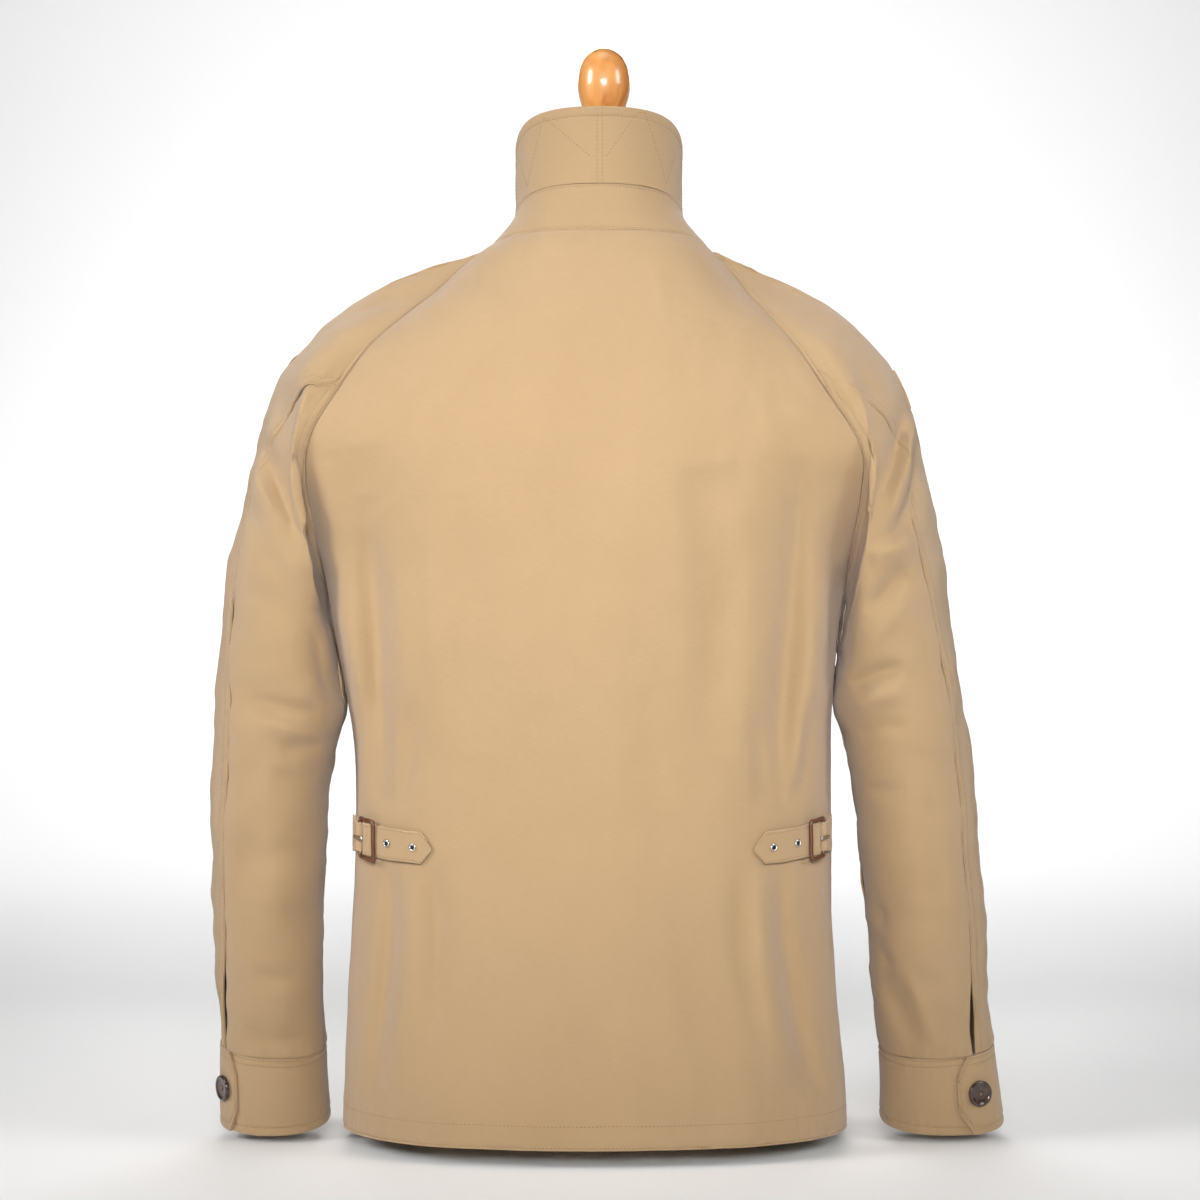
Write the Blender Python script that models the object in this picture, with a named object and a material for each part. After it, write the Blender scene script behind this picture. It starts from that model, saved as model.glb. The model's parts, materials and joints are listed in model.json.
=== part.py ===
"""Golf jacket filled out on a limbless dress form.

The jacket is built from its cutting pieces: back, two fronts, two-piece raglan sleeves, a collar
worn turned up, cuffs, a front zip and two waist adjusters. Each cloth piece is a wall of real
thickness on a smooth surface, which runs through rings stated by the short tables below.

Tables and sizes are in millimetres. A height is measured up from the hem, which hangs
HEM_CLEARANCE above the surface that the form stands on. The jacket's back faces -Y and its left
is at -X. An angle round the body is 0 at the centre back, 90 at the side and 180 at the centre
front, and negative on the left. An angle round a sleeve is 0 along its top, 90 at its back, 180
along its underarm and negative at its front.
"""

import math

import bmesh
import bpy
import numpy as np
from mathutils import Matrix, Vector

MM = 0.001
HEM_CLEARANCE = 13.0
CLOTH = 1.4
COLLAR_CLOTH = 2.0
CUFF_CLOTH = 2.4
SEAM = 0.3
SQUARENESS = 0.87
STEP = 0.02

# Rows of the body's table that bound the armholes.
UNDERARM_ROW = 9.0
SLEEVE_SEAM_ROW = 15.0
NECK_ROW = 20.0


class Table:
    """A short table whose named columns run smoothly from row to row."""

    def __init__(self, columns, rows):
        self.columns = {name: np.array(values, float) for name, values in zip(columns, zip(*rows))}
        self.last = len(rows) - 1

    def at(self, name, row):
        """Catmull-Rom value of a column at a row number that may be a fraction."""
        values = self.columns[name]
        values = np.concatenate([[2 * values[0] - values[1]], values, [2 * values[-1] - values[-2]]])
        row = np.clip(np.asarray(row, float), 0, self.last)
        start = np.minimum(row.astype(int), self.last - 1)
        t = row - start
        a, b, c, d = (values[start + step] for step in range(4))
        bend = 2 * a - 5 * b + 4 * c - d
        return b + t * ((c - a) + t * (bend + t * (3 * (b - c) + d - a))) / 2


BODY = Table(
    ("height", "lift", "crown", "left", "right", "back", "front", "back_angle", "inset", "front_angle"), [
        (0, 0, 0, 197, 190, 128, 120, 90, 0, 90),
        (40, 0, 0, 196, 188, 129, 120, 90, 0, 90),
        (90, 0, 0, 193.5, 182, 127, 118, 90, 0, 90),
        (155, 0, 0, 189, 178, 124, 116, 90, 0, 90),
        (215, 0, 0, 188, 177, 121, 115, 90, 0, 90),
        (265, 0, 0, 188, 177, 121, 115.5, 90, 0, 90),
        (305, 0, 0, 190, 177.5, 122, 117, 90, 0, 90),
        (340, 0, 0, 196, 180, 123, 119, 90, 0, 90),
        (375, 0, 0, 203, 183, 125, 121, 90, 0, 90),
        (410, 0, 0, 208, 187, 126, 123, 90, 0, 90),
        (432, 0.5, 0, 212, 190, 126, 123, 81, 4, 80),
        (457.5, 1, 0, 216, 193, 126, 122, 69.6, 9, 68),
        (482.5, 3, 0, 219, 196, 125, 120, 59, 14, 56),
        (505.5, 5, 0, 218, 196, 123.5, 118, 49, 17, 46),
        (524, 8, 0, 212, 187, 121, 115, 45.5, 18, 42),
        (549, 14, 0.3, 194, 168, 115, 110, 46, 17, 43),
        (578.5, 20, 1, 172, 147, 106, 103, 50, 13, 48),
        (598.5, 24, 2, 150, 130, 98, 98, 56, 10, 53),
        (621, 28, 3.5, 124, 112, 87, 91, 65, 6, 61),
        (639.5, 31, 6, 105, 98, 79, 87, 71, 3, 66),
        (653.5, 33, 7, 85.4, 85.4, 70, 84, 75, 2, 70),
    ])

SLEEVE_COLUMNS = ("outer_x", "outer_height", "inner_x", "inner_height", "forward", "depth", "dip", "twist")
LEFT_RINGS = Table(SLEEVE_COLUMNS, [
    (-88, 663, -208, 410, 2, 88, 0, 0),
    (-137, 650, -208.6, 405, 1, 91, 0, 0),
    (-183, 629, -208.6, 399, 0, 92, 0, 0),
    (-216, 605, -208, 392, 0, 89, 0, 0),
    (-239, 581, -206.6, 384, 0, 85, 0, 0),
    (-251, 556, -205, 375, 0, 81, 0, 0),
    (-259, 529, -203, 365, 0, 78, 0, -3),
    (-267, 501, -200.8, 354, 0, 75, 0, -8),
    (-276, 466, -198.6, 343, 1, 72, 0, -12),
    (-286, 420, -196.5, 331, 2, 69, 1, -13),
    (-293, 370, -195.5, 316, 3, 66, 2, -8),
    (-296, 322, -203, 292, 4, 63, 3, 0),
    (-298, 270, -209, 255, 6, 60, 4, 2),
    (-299, 215, -212, 205, 8, 56, 5, 3),
    (-298, 160, -214, 154, 11, 51, 6, 3),
    (-296, 110, -215, 106, 14, 46, 7, -5),
    (-293, 62, -213, 58, 17, 41, 8, -12),
    (-293, 0, -210, 1, 20, 39, 8, -12),
])
RIGHT_RINGS = Table(SLEEVE_COLUMNS, [
    (88, 663, 187, 410, 2, 88, 0, 0),
    (124, 650, 188.2, 405, 1, 91, 0, 0),
    (164, 630, 188.2, 399, 0, 92, 0, 0),
    (194, 611, 187.4, 392, 0, 89, 0, 0),
    (221, 584, 186.4, 384, 0, 85, 0, 0),
    (235, 557, 185.2, 375, 0, 81, 0, 0),
    (243, 529, 184, 365, 0, 78, 0, 6),
    (250, 501, 183, 354, 0, 75, 0, 13),
    (257, 466, 181.7, 343, 1, 72, 0, 13),
    (265.5, 420, 180.8, 331, 2, 69, 1, 6),
    (273, 370, 180.2, 316, 3, 66, 2, 0),
    (280, 322, 188, 292, 4, 63, 3, -2),
    (286.5, 270, 195, 255, 6, 60, 4, 0),
    (292, 215, 201, 205, 8, 56, 5, 6),
    (297, 160, 206, 154, 11, 51, 6, 7),
    (300, 110, 211, 106, 14, 46, 7, 9),
    (304, 62, 216.5, 58, 17, 41, 8, 12),
    (312, 0, 218, 1, 20, 39, 8, 12),
])
CUFF_SEAM_ROW = 16.0
SLIT_TOP_ROW = 14.6
SLIT_GAP = 2.4
# Rows over which a sleeve leaves its seam line, and over which its columns turn to its own angles.
ARMHOLE_ROWS_SPAN = 4.6
SWEEP_ROWS = 8.0
# Angles round a sleeve at the neck's corner and at the seam between its two pieces.
NECK_CORNER_ANGLE = 12.0
SLEEVE_SEAM_ANGLE = 45.0

COLLAR = Table(
    ("height", "lift", "crown", "width", "back", "front", "opening"), [
        (653.5, 33, 7, 88, 70, 84, 3),
        (671, 35, 10, 70, 66, 77, 3),
        (685, 37.5, 8, 65, 64, 73, 4),
        (712.5, 41.5, 9, 64, 61.5, 74, 10),
        (737.5, 45.5, 10, 64.5, 60, 78, 17),
    ])
COLLAR_CENTRE = -0.8
FRONT_CENTRE_HEM = -3.5
LEAF_ROW = 2.0

# Soft folds of the cloth, each along a curve through three points (x and height, as seen from
# behind). A ridge has a positive depth and a groove a negative one.
FOLDS = Table(
    ("side", "width", "depth", "x1", "h1", "x2", "h2", "x3", "h3"), [
        (-1, 15, 4, -207, 500, -185, 372, -164, 262),
        (-1, 14, -5, -172, 476, -166, 328, -161, 250),
        (-1, 15, -5, 150, 505, 140, 372, 134, 245),
        (-1, 11, 3, 161, 402, 153, 343, 142, 284),
        (-1, 28, -4, 74, 500, 85, 400, 82, 290),
        (-1, 28, -3, -96, 480, -90, 390, -86, 290),
        (-1, 11, -4, -157, 205, -160, 136, -168, 36),
        (-1, 11, -4, 135, 205, 141, 136, 163, 36),
        (-1, 13, 3, -140, 200, -143, 130, -150, 40),
        (-1, 13, 3, 118, 205, 122, 130, 140, 40),
        (-1, 14, -2, -12, 90, 2, 56, 14, 10),
        (-1, 14, -6, -246, 572, -236, 505, -224, 450),
        (-1, 18, 4, -257, 520, -248, 486, -232, 452),
        (-1, 11, -4, 195, 578, 201, 550, 203, 522),
        (-1, 12, -6, 232, 538, 214, 500, 203, 445),
        (-1, 17, 4, 236, 530, 228, 490, 210, 442),
        (-1, 11, 4, 203, 433, 220, 441, 238, 448),
        (-1, 10, -4, -264, 325, -240, 320, -212, 318),
        (-1, 10, 3, -256, 306, -232, 300, -210, 296),
        (-1, 10, -4, 193, 338, 208, 346, 224, 350),
        (-1, 11, -3, 206, 190, 216, 168, 226, 140),
        (1, 14, -4, -165, 470, -160, 340, -158, 250),
        (1, 14, -4, 145, 470, 138, 340, 134, 250),
        (1, 26, -4, -80, 470, -88, 380, -84, 290),
        (1, 26, -4, 76, 470, 84, 380, 80, 290),
        (1, 12, -5, -244, 560, -224, 505, -212, 450),
        (1, 12, -5, 228, 545, 204, 500, 193, 450),
        (1, 15, 4, -254, 510, -236, 484, -216, 450),
        (1, 13, 4, 232, 520, 214, 488, 194, 450),
        (1, 10, -4, -262, 330, -240, 318, -214, 308),
        (1, 10, -4, 200, 310, 220, 322, 244, 336),
        (1, 12, -3, -150, 200, -156, 120, -162, 40),
        (1, 12, -3, 130, 200, 138, 120, 150, 40),
    ])
FOLD_STEPS = 9
FOLD_FACES_FROM = 5.0
FOLD_FADE = 30.0


def unit(vectors):
    """Vectors of an array scaled to a length of 1."""
    return vectors / np.maximum(np.linalg.norm(vectors, axis=-1, keepdims=True), 1e-12)


def rounded(values):
    """Sine or cosine values bent towards a slightly squarer ring."""
    return np.sign(values) * np.abs(values) ** SQUARENESS


def fold_height(points, forward):
    """How far folds lift the cloth at points, whose limb's middle lies at a forward place."""
    ahead = points[..., 1] - forward
    lift = np.zeros(points.shape[:-1])
    steps = np.linspace(0, 1, FOLD_STEPS)
    for row in range(FOLDS.last + 1):
        fold = {name: values[row] for name, values in FOLDS.columns.items()}
        curve = np.array([
            (1 - steps) ** 2 * fold[axis + "1"]
            + 2 * steps * (1 - steps) * (2 * fold[axis + "2"] - (fold[axis + "1"] + fold[axis + "3"]) / 2)
            + steps ** 2 * fold[axis + "3"] for axis in ("x", "h")])
        nearest = np.full(lift.shape, np.inf)
        taper = np.zeros(lift.shape)
        for start in range(FOLD_STEPS - 1):
            ax, ah = curve[:, start]
            run_x, run_h = curve[:, start + 1] - curve[:, start]
            along = (points[..., 0] - ax) * run_x + (points[..., 2] - ah) * run_h
            along = np.clip(along / (run_x ** 2 + run_h ** 2), 0, 1)
            gap = np.hypot(points[..., 0] - ax - along * run_x, points[..., 2] - ah - along * run_h)
            place = (start + along) / (FOLD_STEPS - 1)
            taper = np.where(gap < nearest, np.sqrt(np.maximum(4 * place * (1 - place), 0)), taper)
            nearest = np.minimum(nearest, gap)
        facing = np.clip((fold["side"] * ahead - FOLD_FACES_FROM) / FOLD_FADE, 0, 1)
        lift += fold["depth"] * facing * taper * np.exp(-(nearest / fold["width"]) ** 2)
    return lift


def seam_degrees(face, row):
    """Angle from the centre back or the centre front at which a body panel ends."""
    return np.minimum(BODY.at(face + "_angle", row), 90)


class Surface:
    """A smooth surface stated by a row of its table and an angle round its middle."""

    outwards = 1.0

    def point(self, row, angle):
        raise NotImplementedError

    def normal(self, row, angle):
        """Outward direction, from the surface's slope along the row and the angle."""
        row, angle = np.broadcast_arrays(np.asarray(row, float), np.asarray(angle, float))
        around = self.point(row, angle + 1) - self.point(row, angle - 1)
        along = self.point(row + STEP, angle) - self.point(row - STEP, angle)
        return unit(np.cross(around, along) * self.outwards)

    def forward(self, row, angle):
        """Y of the surface's middle, from which its back and front are told apart."""
        return 0.0


class Body(Surface):
    """The jacket's body, from the hem to the neck seam."""

    def point(self, row, angle):
        row, angle = np.broadcast_arrays(np.asarray(row, float), np.asarray(angle, float))
        turn = np.radians(angle)
        back = np.abs(angle) <= 90
        seam = np.radians(np.where(back, seam_degrees("back", row), seam_degrees("front", row)))
        left = BODY.at("left", row)
        right = BODY.at("right", row)
        width = (left + right) / 2 - np.where(back, 0, BODY.at("inset", row))
        centre = (right - left) / 2 + COLLAR_CENTRE * np.clip((row - UNDERARM_ROW) / 10, 0, 1)
        straight = FRONT_CENTRE_HEM + (COLLAR_CENTRE - FRONT_CENTRE_HEM) * row / NECK_ROW
        centre = centre + (straight - centre) * np.maximum(-np.cos(turn), 0)
        x = centre + width / np.sin(seam) ** SQUARENESS * rounded(np.sin(turn))
        y = -np.where(back, BODY.at("back", row), BODY.at("front", row)) * rounded(np.cos(turn))
        height = BODY.at("height", row) + BODY.at("lift", row) * np.cos(turn)
        height = height - BODY.at("crown", row) * np.cos(2 * turn)
        return np.stack([x, y, height], -1)

    def front_edge_angle(self, row, gap):
        """Angle, short of 180, at which a front ends a gap away from the centre front."""
        row = np.asarray(row, float)
        seam = np.radians(seam_degrees("front", row))
        width = (BODY.at("left", row) + BODY.at("right", row)) / 2 - BODY.at("inset", row)
        across = width / np.sin(seam) ** SQUARENESS
        return 180 - np.degrees(np.arcsin((gap / across) ** (1 / SQUARENESS)))

    def row_at(self, height):
        """Row below the armholes at which the body has a height."""
        rows = np.linspace(0, UNDERARM_ROW, 400)
        return np.interp(height, BODY.at("height", rows), rows)


class Sleeve(Surface):
    """A raglan sleeve, from the neck and the armhole seams to the cuff's lower edge."""

    def __init__(self, side, rings):
        self.side = side
        self.rings = rings
        self.outwards = float(side)

    def ring(self, row, angle):
        """Point on the plain ring of a row."""
        turn = np.radians(angle + self.rings.at("twist", row))
        outer = np.stack([self.rings.at("outer_x", row), self.rings.at("outer_height", row)], -1)
        inner = np.stack([self.rings.at("inner_x", row), self.rings.at("inner_height", row)], -1)
        flat = (outer + inner) / 2 + (outer - inner) / 2 * rounded(np.cos(turn))[..., None]
        y = self.rings.at("forward", row) - self.rings.at("depth", row) * rounded(np.sin(turn))
        height = flat[..., 1] - self.rings.at("dip", row) * np.sin(turn)
        return np.stack([flat[..., 0], y, height], -1)

    def armhole(self, angle):
        """Point on the closed seam line: neck edge, back seam, underarm and front seam."""
        size = np.abs(angle)
        body_row = armhole_row(size)
        on_neck = size < NECK_CORNER_ANGLE
        corners = [180 - seam_degrees("front", NECK_ROW), seam_degrees("back", NECK_ROW)]
        neck = np.interp(angle, [-NECK_CORNER_ANGLE, NECK_CORNER_ANGLE], corners)
        back = seam_degrees("back", body_row)
        front = 180 - seam_degrees("front", body_row)
        around = np.where(on_neck, neck, np.where(angle > 0, back, front))
        return BODY_SURFACE.point(body_row, self.side * around)

    def level_angle(self, seam):
        """Angle at which the first ring lies level with points of the seam line."""
        top = np.array([self.rings.at(name, 0) for name in ("outer_x", "outer_height")])
        low = np.array([self.rings.at(name, 0) for name in ("inner_x", "inner_height")])
        half = (top - low) / 2
        share = ((seam[..., [0, 2]] - (top + low) / 2) @ half) / (half @ half)
        share = np.clip(share, -1, 1)
        return np.degrees(np.arccos(np.sign(share) * np.abs(share) ** (1 / SQUARENESS)))

    def point(self, row, angle):
        row, angle = np.broadcast_arrays(np.asarray(row, float), np.asarray(angle, float))
        angle = (angle + 180) % 360 - 180
        seam = self.armhole(angle)
        level = self.level_angle(seam) * np.sign(angle)
        drawn = np.clip(1 - row / SWEEP_ROWS, 0, 1) ** 1.5
        left = np.clip(1 - row / ARMHOLE_ROWS_SPAN, 0, 1)
        fade = (left ** 2 * (3 - 2 * left))[..., None]
        around = angle + (level - angle) * drawn
        return self.ring(row, around) + fade * (seam - self.ring(row * 0, level))

    def forward(self, row, angle):
        return self.rings.at("forward", row) * np.clip(row / SWEEP_ROWS, 0, 1)


class Collar(Surface):
    """The collar's stand and its turned-up leaf, from the neck seam to the rim."""

    def ring(self, row, angle):
        turn = np.radians(angle)
        back = np.abs(angle) <= 90
        x = COLLAR_CENTRE + COLLAR.at("width", row) * np.sin(turn)
        y = -np.where(back, COLLAR.at("back", row), COLLAR.at("front", row)) * np.cos(turn)
        height = COLLAR.at("height", row) + COLLAR.at("lift", row) * np.cos(turn)
        height = height - COLLAR.at("crown", row) * np.cos(2 * turn)
        return np.stack([x, y, height], -1)

    def point(self, row, angle):
        row, angle = np.broadcast_arrays(np.asarray(row, float), np.asarray(angle, float))
        fade = np.clip(1 - row / LEAF_ROW, 0, 1)[..., None]
        neck_step = BODY_SURFACE.point(NECK_ROW, angle) - self.ring(row * 0, angle)
        return self.ring(row, angle) + fade * neck_step


def armhole_row(size):
    """Row of the body's table that meets a sleeve at an angle of a size."""
    angles = [NECK_CORNER_ANGLE, SLEEVE_SEAM_ANGLE, 180]
    return np.interp(size, angles, [NECK_ROW, SLEEVE_SEAM_ROW, UNDERARM_ROW])


def armhole_angle(body_row):
    """Angle round a sleeve, without its sign, that meets a row of the body's table."""
    rows = [UNDERARM_ROW, SLEEVE_SEAM_ROW, NECK_ROW]
    return np.interp(body_row, rows, [180, SLEEVE_SEAM_ANGLE, NECK_CORNER_ANGLE])


BODY_SURFACE = Body()
COLLAR_SURFACE = Collar()
LEFT, RIGHT = -1, 1
SLEEVES = {LEFT: Sleeve(LEFT, LEFT_RINGS), RIGHT: Sleeve(RIGHT, RIGHT_RINGS)}
SIDE_NAMES = {LEFT: "left", RIGHT: "right"}

# How finely the panels are divided. The armhole's rows are shared by the body and the sleeves.
BODY_ROWS = np.linspace(0, UNDERARM_ROW, 14)
ARMHOLE_ROWS = np.concatenate([
    np.linspace(UNDERARM_ROW, SLEEVE_SEAM_ROW, 8)[:-1], np.linspace(SLEEVE_SEAM_ROW, NECK_ROW, 6)])
PANEL_ROWS = np.concatenate([BODY_ROWS[:-1], ARMHOLE_ROWS])
SLEEVE_ROWS = np.linspace(0, CUFF_SEAM_ROW, 24)
BACK_COLUMNS = 20
FRONT_COLUMNS = 8
NECK_EDGE_COLUMNS = 3
ZIP_GAP = 3.0

FINISHES = {
    "cotton": ((0.53, 0.46, 0.36), 0.85, 0.0),
    "leather": ((0.16, 0.07, 0.03), 0.45, 0.0),
    "horn": ((0.07, 0.045, 0.035), 0.35, 0.0),
    "steel": ((0.62, 0.62, 0.6), 0.3, 1.0),
    "tape": ((0.42, 0.36, 0.28), 0.9, 0.0),
    "linen": ((0.78, 0.74, 0.66), 0.9, 0.0),
    "wood": ((0.55, 0.2, 0.07), 0.25, 0.0),
}


def material(finish):
    """The Principled material of a finish, made once."""
    if finish in bpy.data.materials:
        return bpy.data.materials[finish]
    colour, roughness, metallic = FINISHES[finish]
    made = bpy.data.materials.new(finish)
    made.use_nodes = True
    shader = made.node_tree.nodes["Principled BSDF"]
    shader.inputs["Base Color"].default_value = (*colour, 1.0)
    shader.inputs["Roughness"].default_value = roughness
    shader.inputs["Metallic"].default_value = metallic
    made.diffuse_color = (*colour, 1.0)
    return made


def world(points):
    """Table millimetres as world metres, with the hem lifted clear of the floor."""
    return (np.asarray(points, float) + [0, 0, HEM_CLEARANCE]) * MM


def add_object(name, bm, finish, smooth_angle=50.0):
    """Scene object of a finished mesh, its faces turned outwards."""
    bmesh.ops.recalc_face_normals(bm, faces=bm.faces)
    mesh = bpy.data.meshes.new(name)
    bm.to_mesh(mesh)
    bm.free()
    mesh.shade_smooth()
    mesh.set_sharp_from_angle(angle=math.radians(smooth_angle))
    item = bpy.data.objects.new(name, mesh)
    item.data.materials.append(material(finish))
    bpy.context.scene.collection.objects.link(item)
    return item


def grid_of(bm, points):
    """Vertices of a create_grid face sheet moved to an array's points, as rows of vertices."""
    rows, columns = points.shape[:2]
    made = bmesh.ops.create_grid(bm, x_segments=columns - 1, y_segments=rows - 1, size=1)["verts"]
    for vertex, place in zip(made, world(points).reshape(-1, 3)):
        vertex.co = Vector(place)
    return [made[row * columns:(row + 1) * columns] for row in range(rows)]


def rim_of(grid):
    """The vertices round a grid's edge, in order."""
    right = [row[-1] for row in grid[1:]]
    left = [row[0] for row in grid[-2:0:-1]]
    return grid[0] + right + grid[-1][-2::-1] + left


def wall(name, outer, inner, finish):
    """Closed wall between an outer and an inner sheet of points."""
    bm = bmesh.new()
    outside = rim_of(grid_of(bm, outer))
    inside = rim_of(grid_of(bm, inner))
    for start, end in zip(range(len(outside)), list(range(1, len(outside))) + [0]):
        bm.faces.new((outside[start], outside[end], inside[end], inside[start]))
    return add_object(name, bm, finish)


def sheet_normals(points, like):
    """Directions square to a sheet of points, on the same side as other directions."""
    across = np.gradient(points, axis=1)
    along = np.gradient(points, axis=0)
    square = unit(np.cross(across, along))
    return square * np.where(np.sum(square * like, -1, keepdims=True) < 0, -1, 1)


BORDERS = {
    "bottom": (np.s_[0, :], np.s_[1, :]),
    "top": (np.s_[-1, :], np.s_[-2, :]),
    "start": (np.s_[:, 0], np.s_[:, 1]),
    "end": (np.s_[:, -1], np.s_[:, -2]),
}


def pull_in(points, normals, border, amount):
    """Draw a border of a sheet inwards, square to its seam."""
    edge, inside = BORDERS[border]
    inward = unit(np.cross(normals[edge], np.gradient(points[edge], axis=0)))
    side = np.sign(np.sum(inward * (points[inside] - points[edge]), axis=1))
    points[edge] = points[edge] + inward * (side * amount)[:, None]


class Sheet:
    """Outer points of a finished panel, with the directions square to it."""

    def __init__(self, surface, rows, angles, seams, gaps, lift=0.0):
        """Seams give a border's shared directions or None; gaps draw borders in."""
        rows = np.broadcast_to(np.asarray(rows, float).reshape(len(rows), -1), angles.shape)
        flat = surface.point(rows, angles)
        square = surface.normal(rows, angles)
        for border, shared in seams.items():
            if shared is not None:
                square[BORDERS[border][0]] = shared
        folds = fold_height(flat, surface.forward(rows, angles))
        self.points = flat + square * folds[..., None]
        self.normals = sheet_normals(self.points, square)
        for border in seams:
            edge = BORDERS[border][0]
            self.normals[edge] = square[edge]
        self.points += self.normals * np.broadcast_to(lift, folds.shape)[..., None]
        for border, amount in gaps.items():
            pull_in(self.points, self.normals, border, amount)

    def solid(self, name, finish, thickness=CLOTH):
        return wall(name, self.points, self.points - self.normals * thickness, finish)

    def at(self, row, column, lift):
        """Point over the sheet at fractional grid places, lifted off it."""
        row = np.clip(np.asarray(row, float), 0, self.points.shape[0] - 1.001)
        column = np.clip(np.asarray(column, float), 0, self.points.shape[1] - 1.001)
        i, j = row.astype(int), column.astype(int)
        s, t = (row - i)[..., None], (column - j)[..., None]

        def mixed(grid):
            low = grid[i, j] * (1 - t) + grid[i, j + 1] * t
            high = grid[i + 1, j] * (1 - t) + grid[i + 1, j + 1] * t
            return low * (1 - s) + high * s

        return mixed(self.points) + unit(mixed(self.normals)) * np.asarray(lift, float)[..., None]


def seam_angle(side, face, row):
    """Angle round the body, signed, of an armhole seam at rows of the body's table."""
    if face == "back":
        return side * seam_degrees("back", row)
    return side * (180 - seam_degrees("front", row))


def neck_normals(angle):
    """Direction that the collar shares with what it is sewn to, round the neck."""
    angle = np.asarray(angle, float)
    size = np.abs(angle)
    back_corner = seam_degrees("back", NECK_ROW)
    front_corner = 180 - seam_degrees("front", NECK_ROW)
    close = 0.01
    on_body = (size < back_corner + close) | (size > front_corner - close)
    on_sleeve = (size > back_corner - close) & (size < front_corner + close)
    shared = COLLAR_SURFACE.normal(np.zeros(angle.shape), angle)
    shared = shared + BODY_SURFACE.normal(NECK_ROW, angle) * on_body[..., None]
    sleeve_angle = np.interp(size, [back_corner, front_corner], [NECK_CORNER_ANGLE, -NECK_CORNER_ANGLE])
    for side, sleeve in SLEEVES.items():
        here = on_sleeve & (np.sign(angle) == side)
        shared = shared + sleeve.normal(0, sleeve_angle) * here[..., None]
    return unit(shared)


def armhole_normals(side, face, rows):
    """Direction that the body and a sleeve share along their seam."""
    around = armhole_angle(rows) * (1 if face == "back" else -1)
    angle = seam_angle(side, face, rows)
    shared = unit(BODY_SURFACE.normal(rows, angle) + SLEEVES[side].normal(0, around))
    at_neck = np.asarray(rows) > NECK_ROW - STEP
    return np.where(at_neck[..., None], neck_normals(angle), shared)


def body_edge_normals(side, face):
    """Shared directions down a body panel's armhole seam and side seam."""
    below = PANEL_ROWS < UNDERARM_ROW - STEP
    angle = seam_angle(side, face, PANEL_ROWS)
    square = BODY_SURFACE.normal(PANEL_ROWS, angle)
    return np.where(below[:, None], square, armhole_normals(side, face, PANEL_ROWS))


def make_back():
    """The back, one panel from side seam to side seam and up to the neck."""
    share = np.linspace(-1, 1, BACK_COLUMNS + 1)
    angles = seam_degrees("back", PANEL_ROWS)[:, None] * share
    seams = {
        "start": body_edge_normals(LEFT, "back"),
        "end": body_edge_normals(RIGHT, "back"),
        "top": neck_normals(angles[-1]),
    }
    sheet = Sheet(BODY_SURFACE, PANEL_ROWS, angles, seams, dict.fromkeys(seams, SEAM / 2))
    sheet.solid("back", "cotton")
    return sheet


def make_front(side):
    """A front, from the side and armhole seams to the zip."""
    edge = BODY_SURFACE.front_edge_angle(PANEL_ROWS, ZIP_GAP)
    share = np.linspace(0, 1, FRONT_COLUMNS + 1)
    start = 180 - seam_degrees("front", PANEL_ROWS)
    angles = side * (start[:, None] * (1 - share) + edge[:, None] * share)
    seams = {"start": body_edge_normals(side, "front"), "top": neck_normals(angles[-1])}
    sheet = Sheet(BODY_SURFACE, PANEL_ROWS, angles, seams, dict.fromkeys(seams, SEAM / 2))
    sheet.solid("front_" + SIDE_NAMES[side], "cotton")
    return sheet


def sleeve_columns():
    """Angles of the two sleeve pieces' columns, which meet the body's armhole rows."""
    around = armhole_angle(ARMHOLE_ROWS)
    neck = np.linspace(-NECK_CORNER_ANGLE, NECK_CORNER_ANGLE, NECK_EDGE_COLUMNS + 1)[1:-1]
    upper = around[around <= SLEEVE_SEAM_ANGLE + STEP][::-1]
    top = np.concatenate([-around, neck, upper])
    under = around[around >= SLEEVE_SEAM_ANGLE - STEP][::-1]
    return top, under


def make_sleeve(side):
    """The two pieces of a sleeve, with the slit left open above the cuff."""
    sleeve = SLEEVES[side]
    top, under = sleeve_columns()
    slit_rows = [SLIT_TOP_ROW, SLIT_TOP_ROW + 0.8, CUFF_SEAM_ROW]
    slit = np.interp(SLEEVE_ROWS, slit_rows, [0, SLIT_GAP, SLIT_GAP / 2])
    slit = slit + SEAM / 2
    for name, columns in (("sleeve_top_", top), ("sleeve_under_", under)):
        angles = np.broadcast_to(columns, (len(SLEEVE_ROWS), len(columns)))
        size = np.abs(columns)
        body_rows = armhole_row(size)
        shared = np.where((columns > 0)[:, None],
                          armhole_normals(side, "back", body_rows),
                          armhole_normals(side, "front", body_rows))
        corners = [180 - seam_degrees("front", NECK_ROW), seam_degrees("back", NECK_ROW)]
        neck = np.interp(columns, [-NECK_CORNER_ANGLE, NECK_CORNER_ANGLE], corners)
        on_neck = size <= NECK_CORNER_ANGLE + STEP
        shared = np.where(on_neck[:, None], neck_normals(side * neck), shared)
        split = "end" if name == "sleeve_top_" else "start"
        underarm = "start" if name == "sleeve_top_" else "end"
        seams = {split: None, underarm: None, "top": None, "bottom": shared}
        gaps = {split: slit, underarm: SEAM / 2, "top": SEAM / 2, "bottom": SEAM / 2}
        Sheet(sleeve, SLEEVE_ROWS, angles, seams, gaps).solid(name + SIDE_NAMES[side], "cotton")


CUFF_START = 20.0
CUFF_END = 427.0
# How far the band stands off the sleeve at angles round it: its start tucks under its end.
CUFF_LIFTS = ((CUFF_START, -1.3), (60, -1.3), (100, 0.5), (340, 0.5), (372, 1.5), (CUFF_END, 1.5))
BUTTON_ANGLE = 405.0
BUTTON_RADIUS = 10.0
BUTTON_THICKNESS = 3.0


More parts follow.
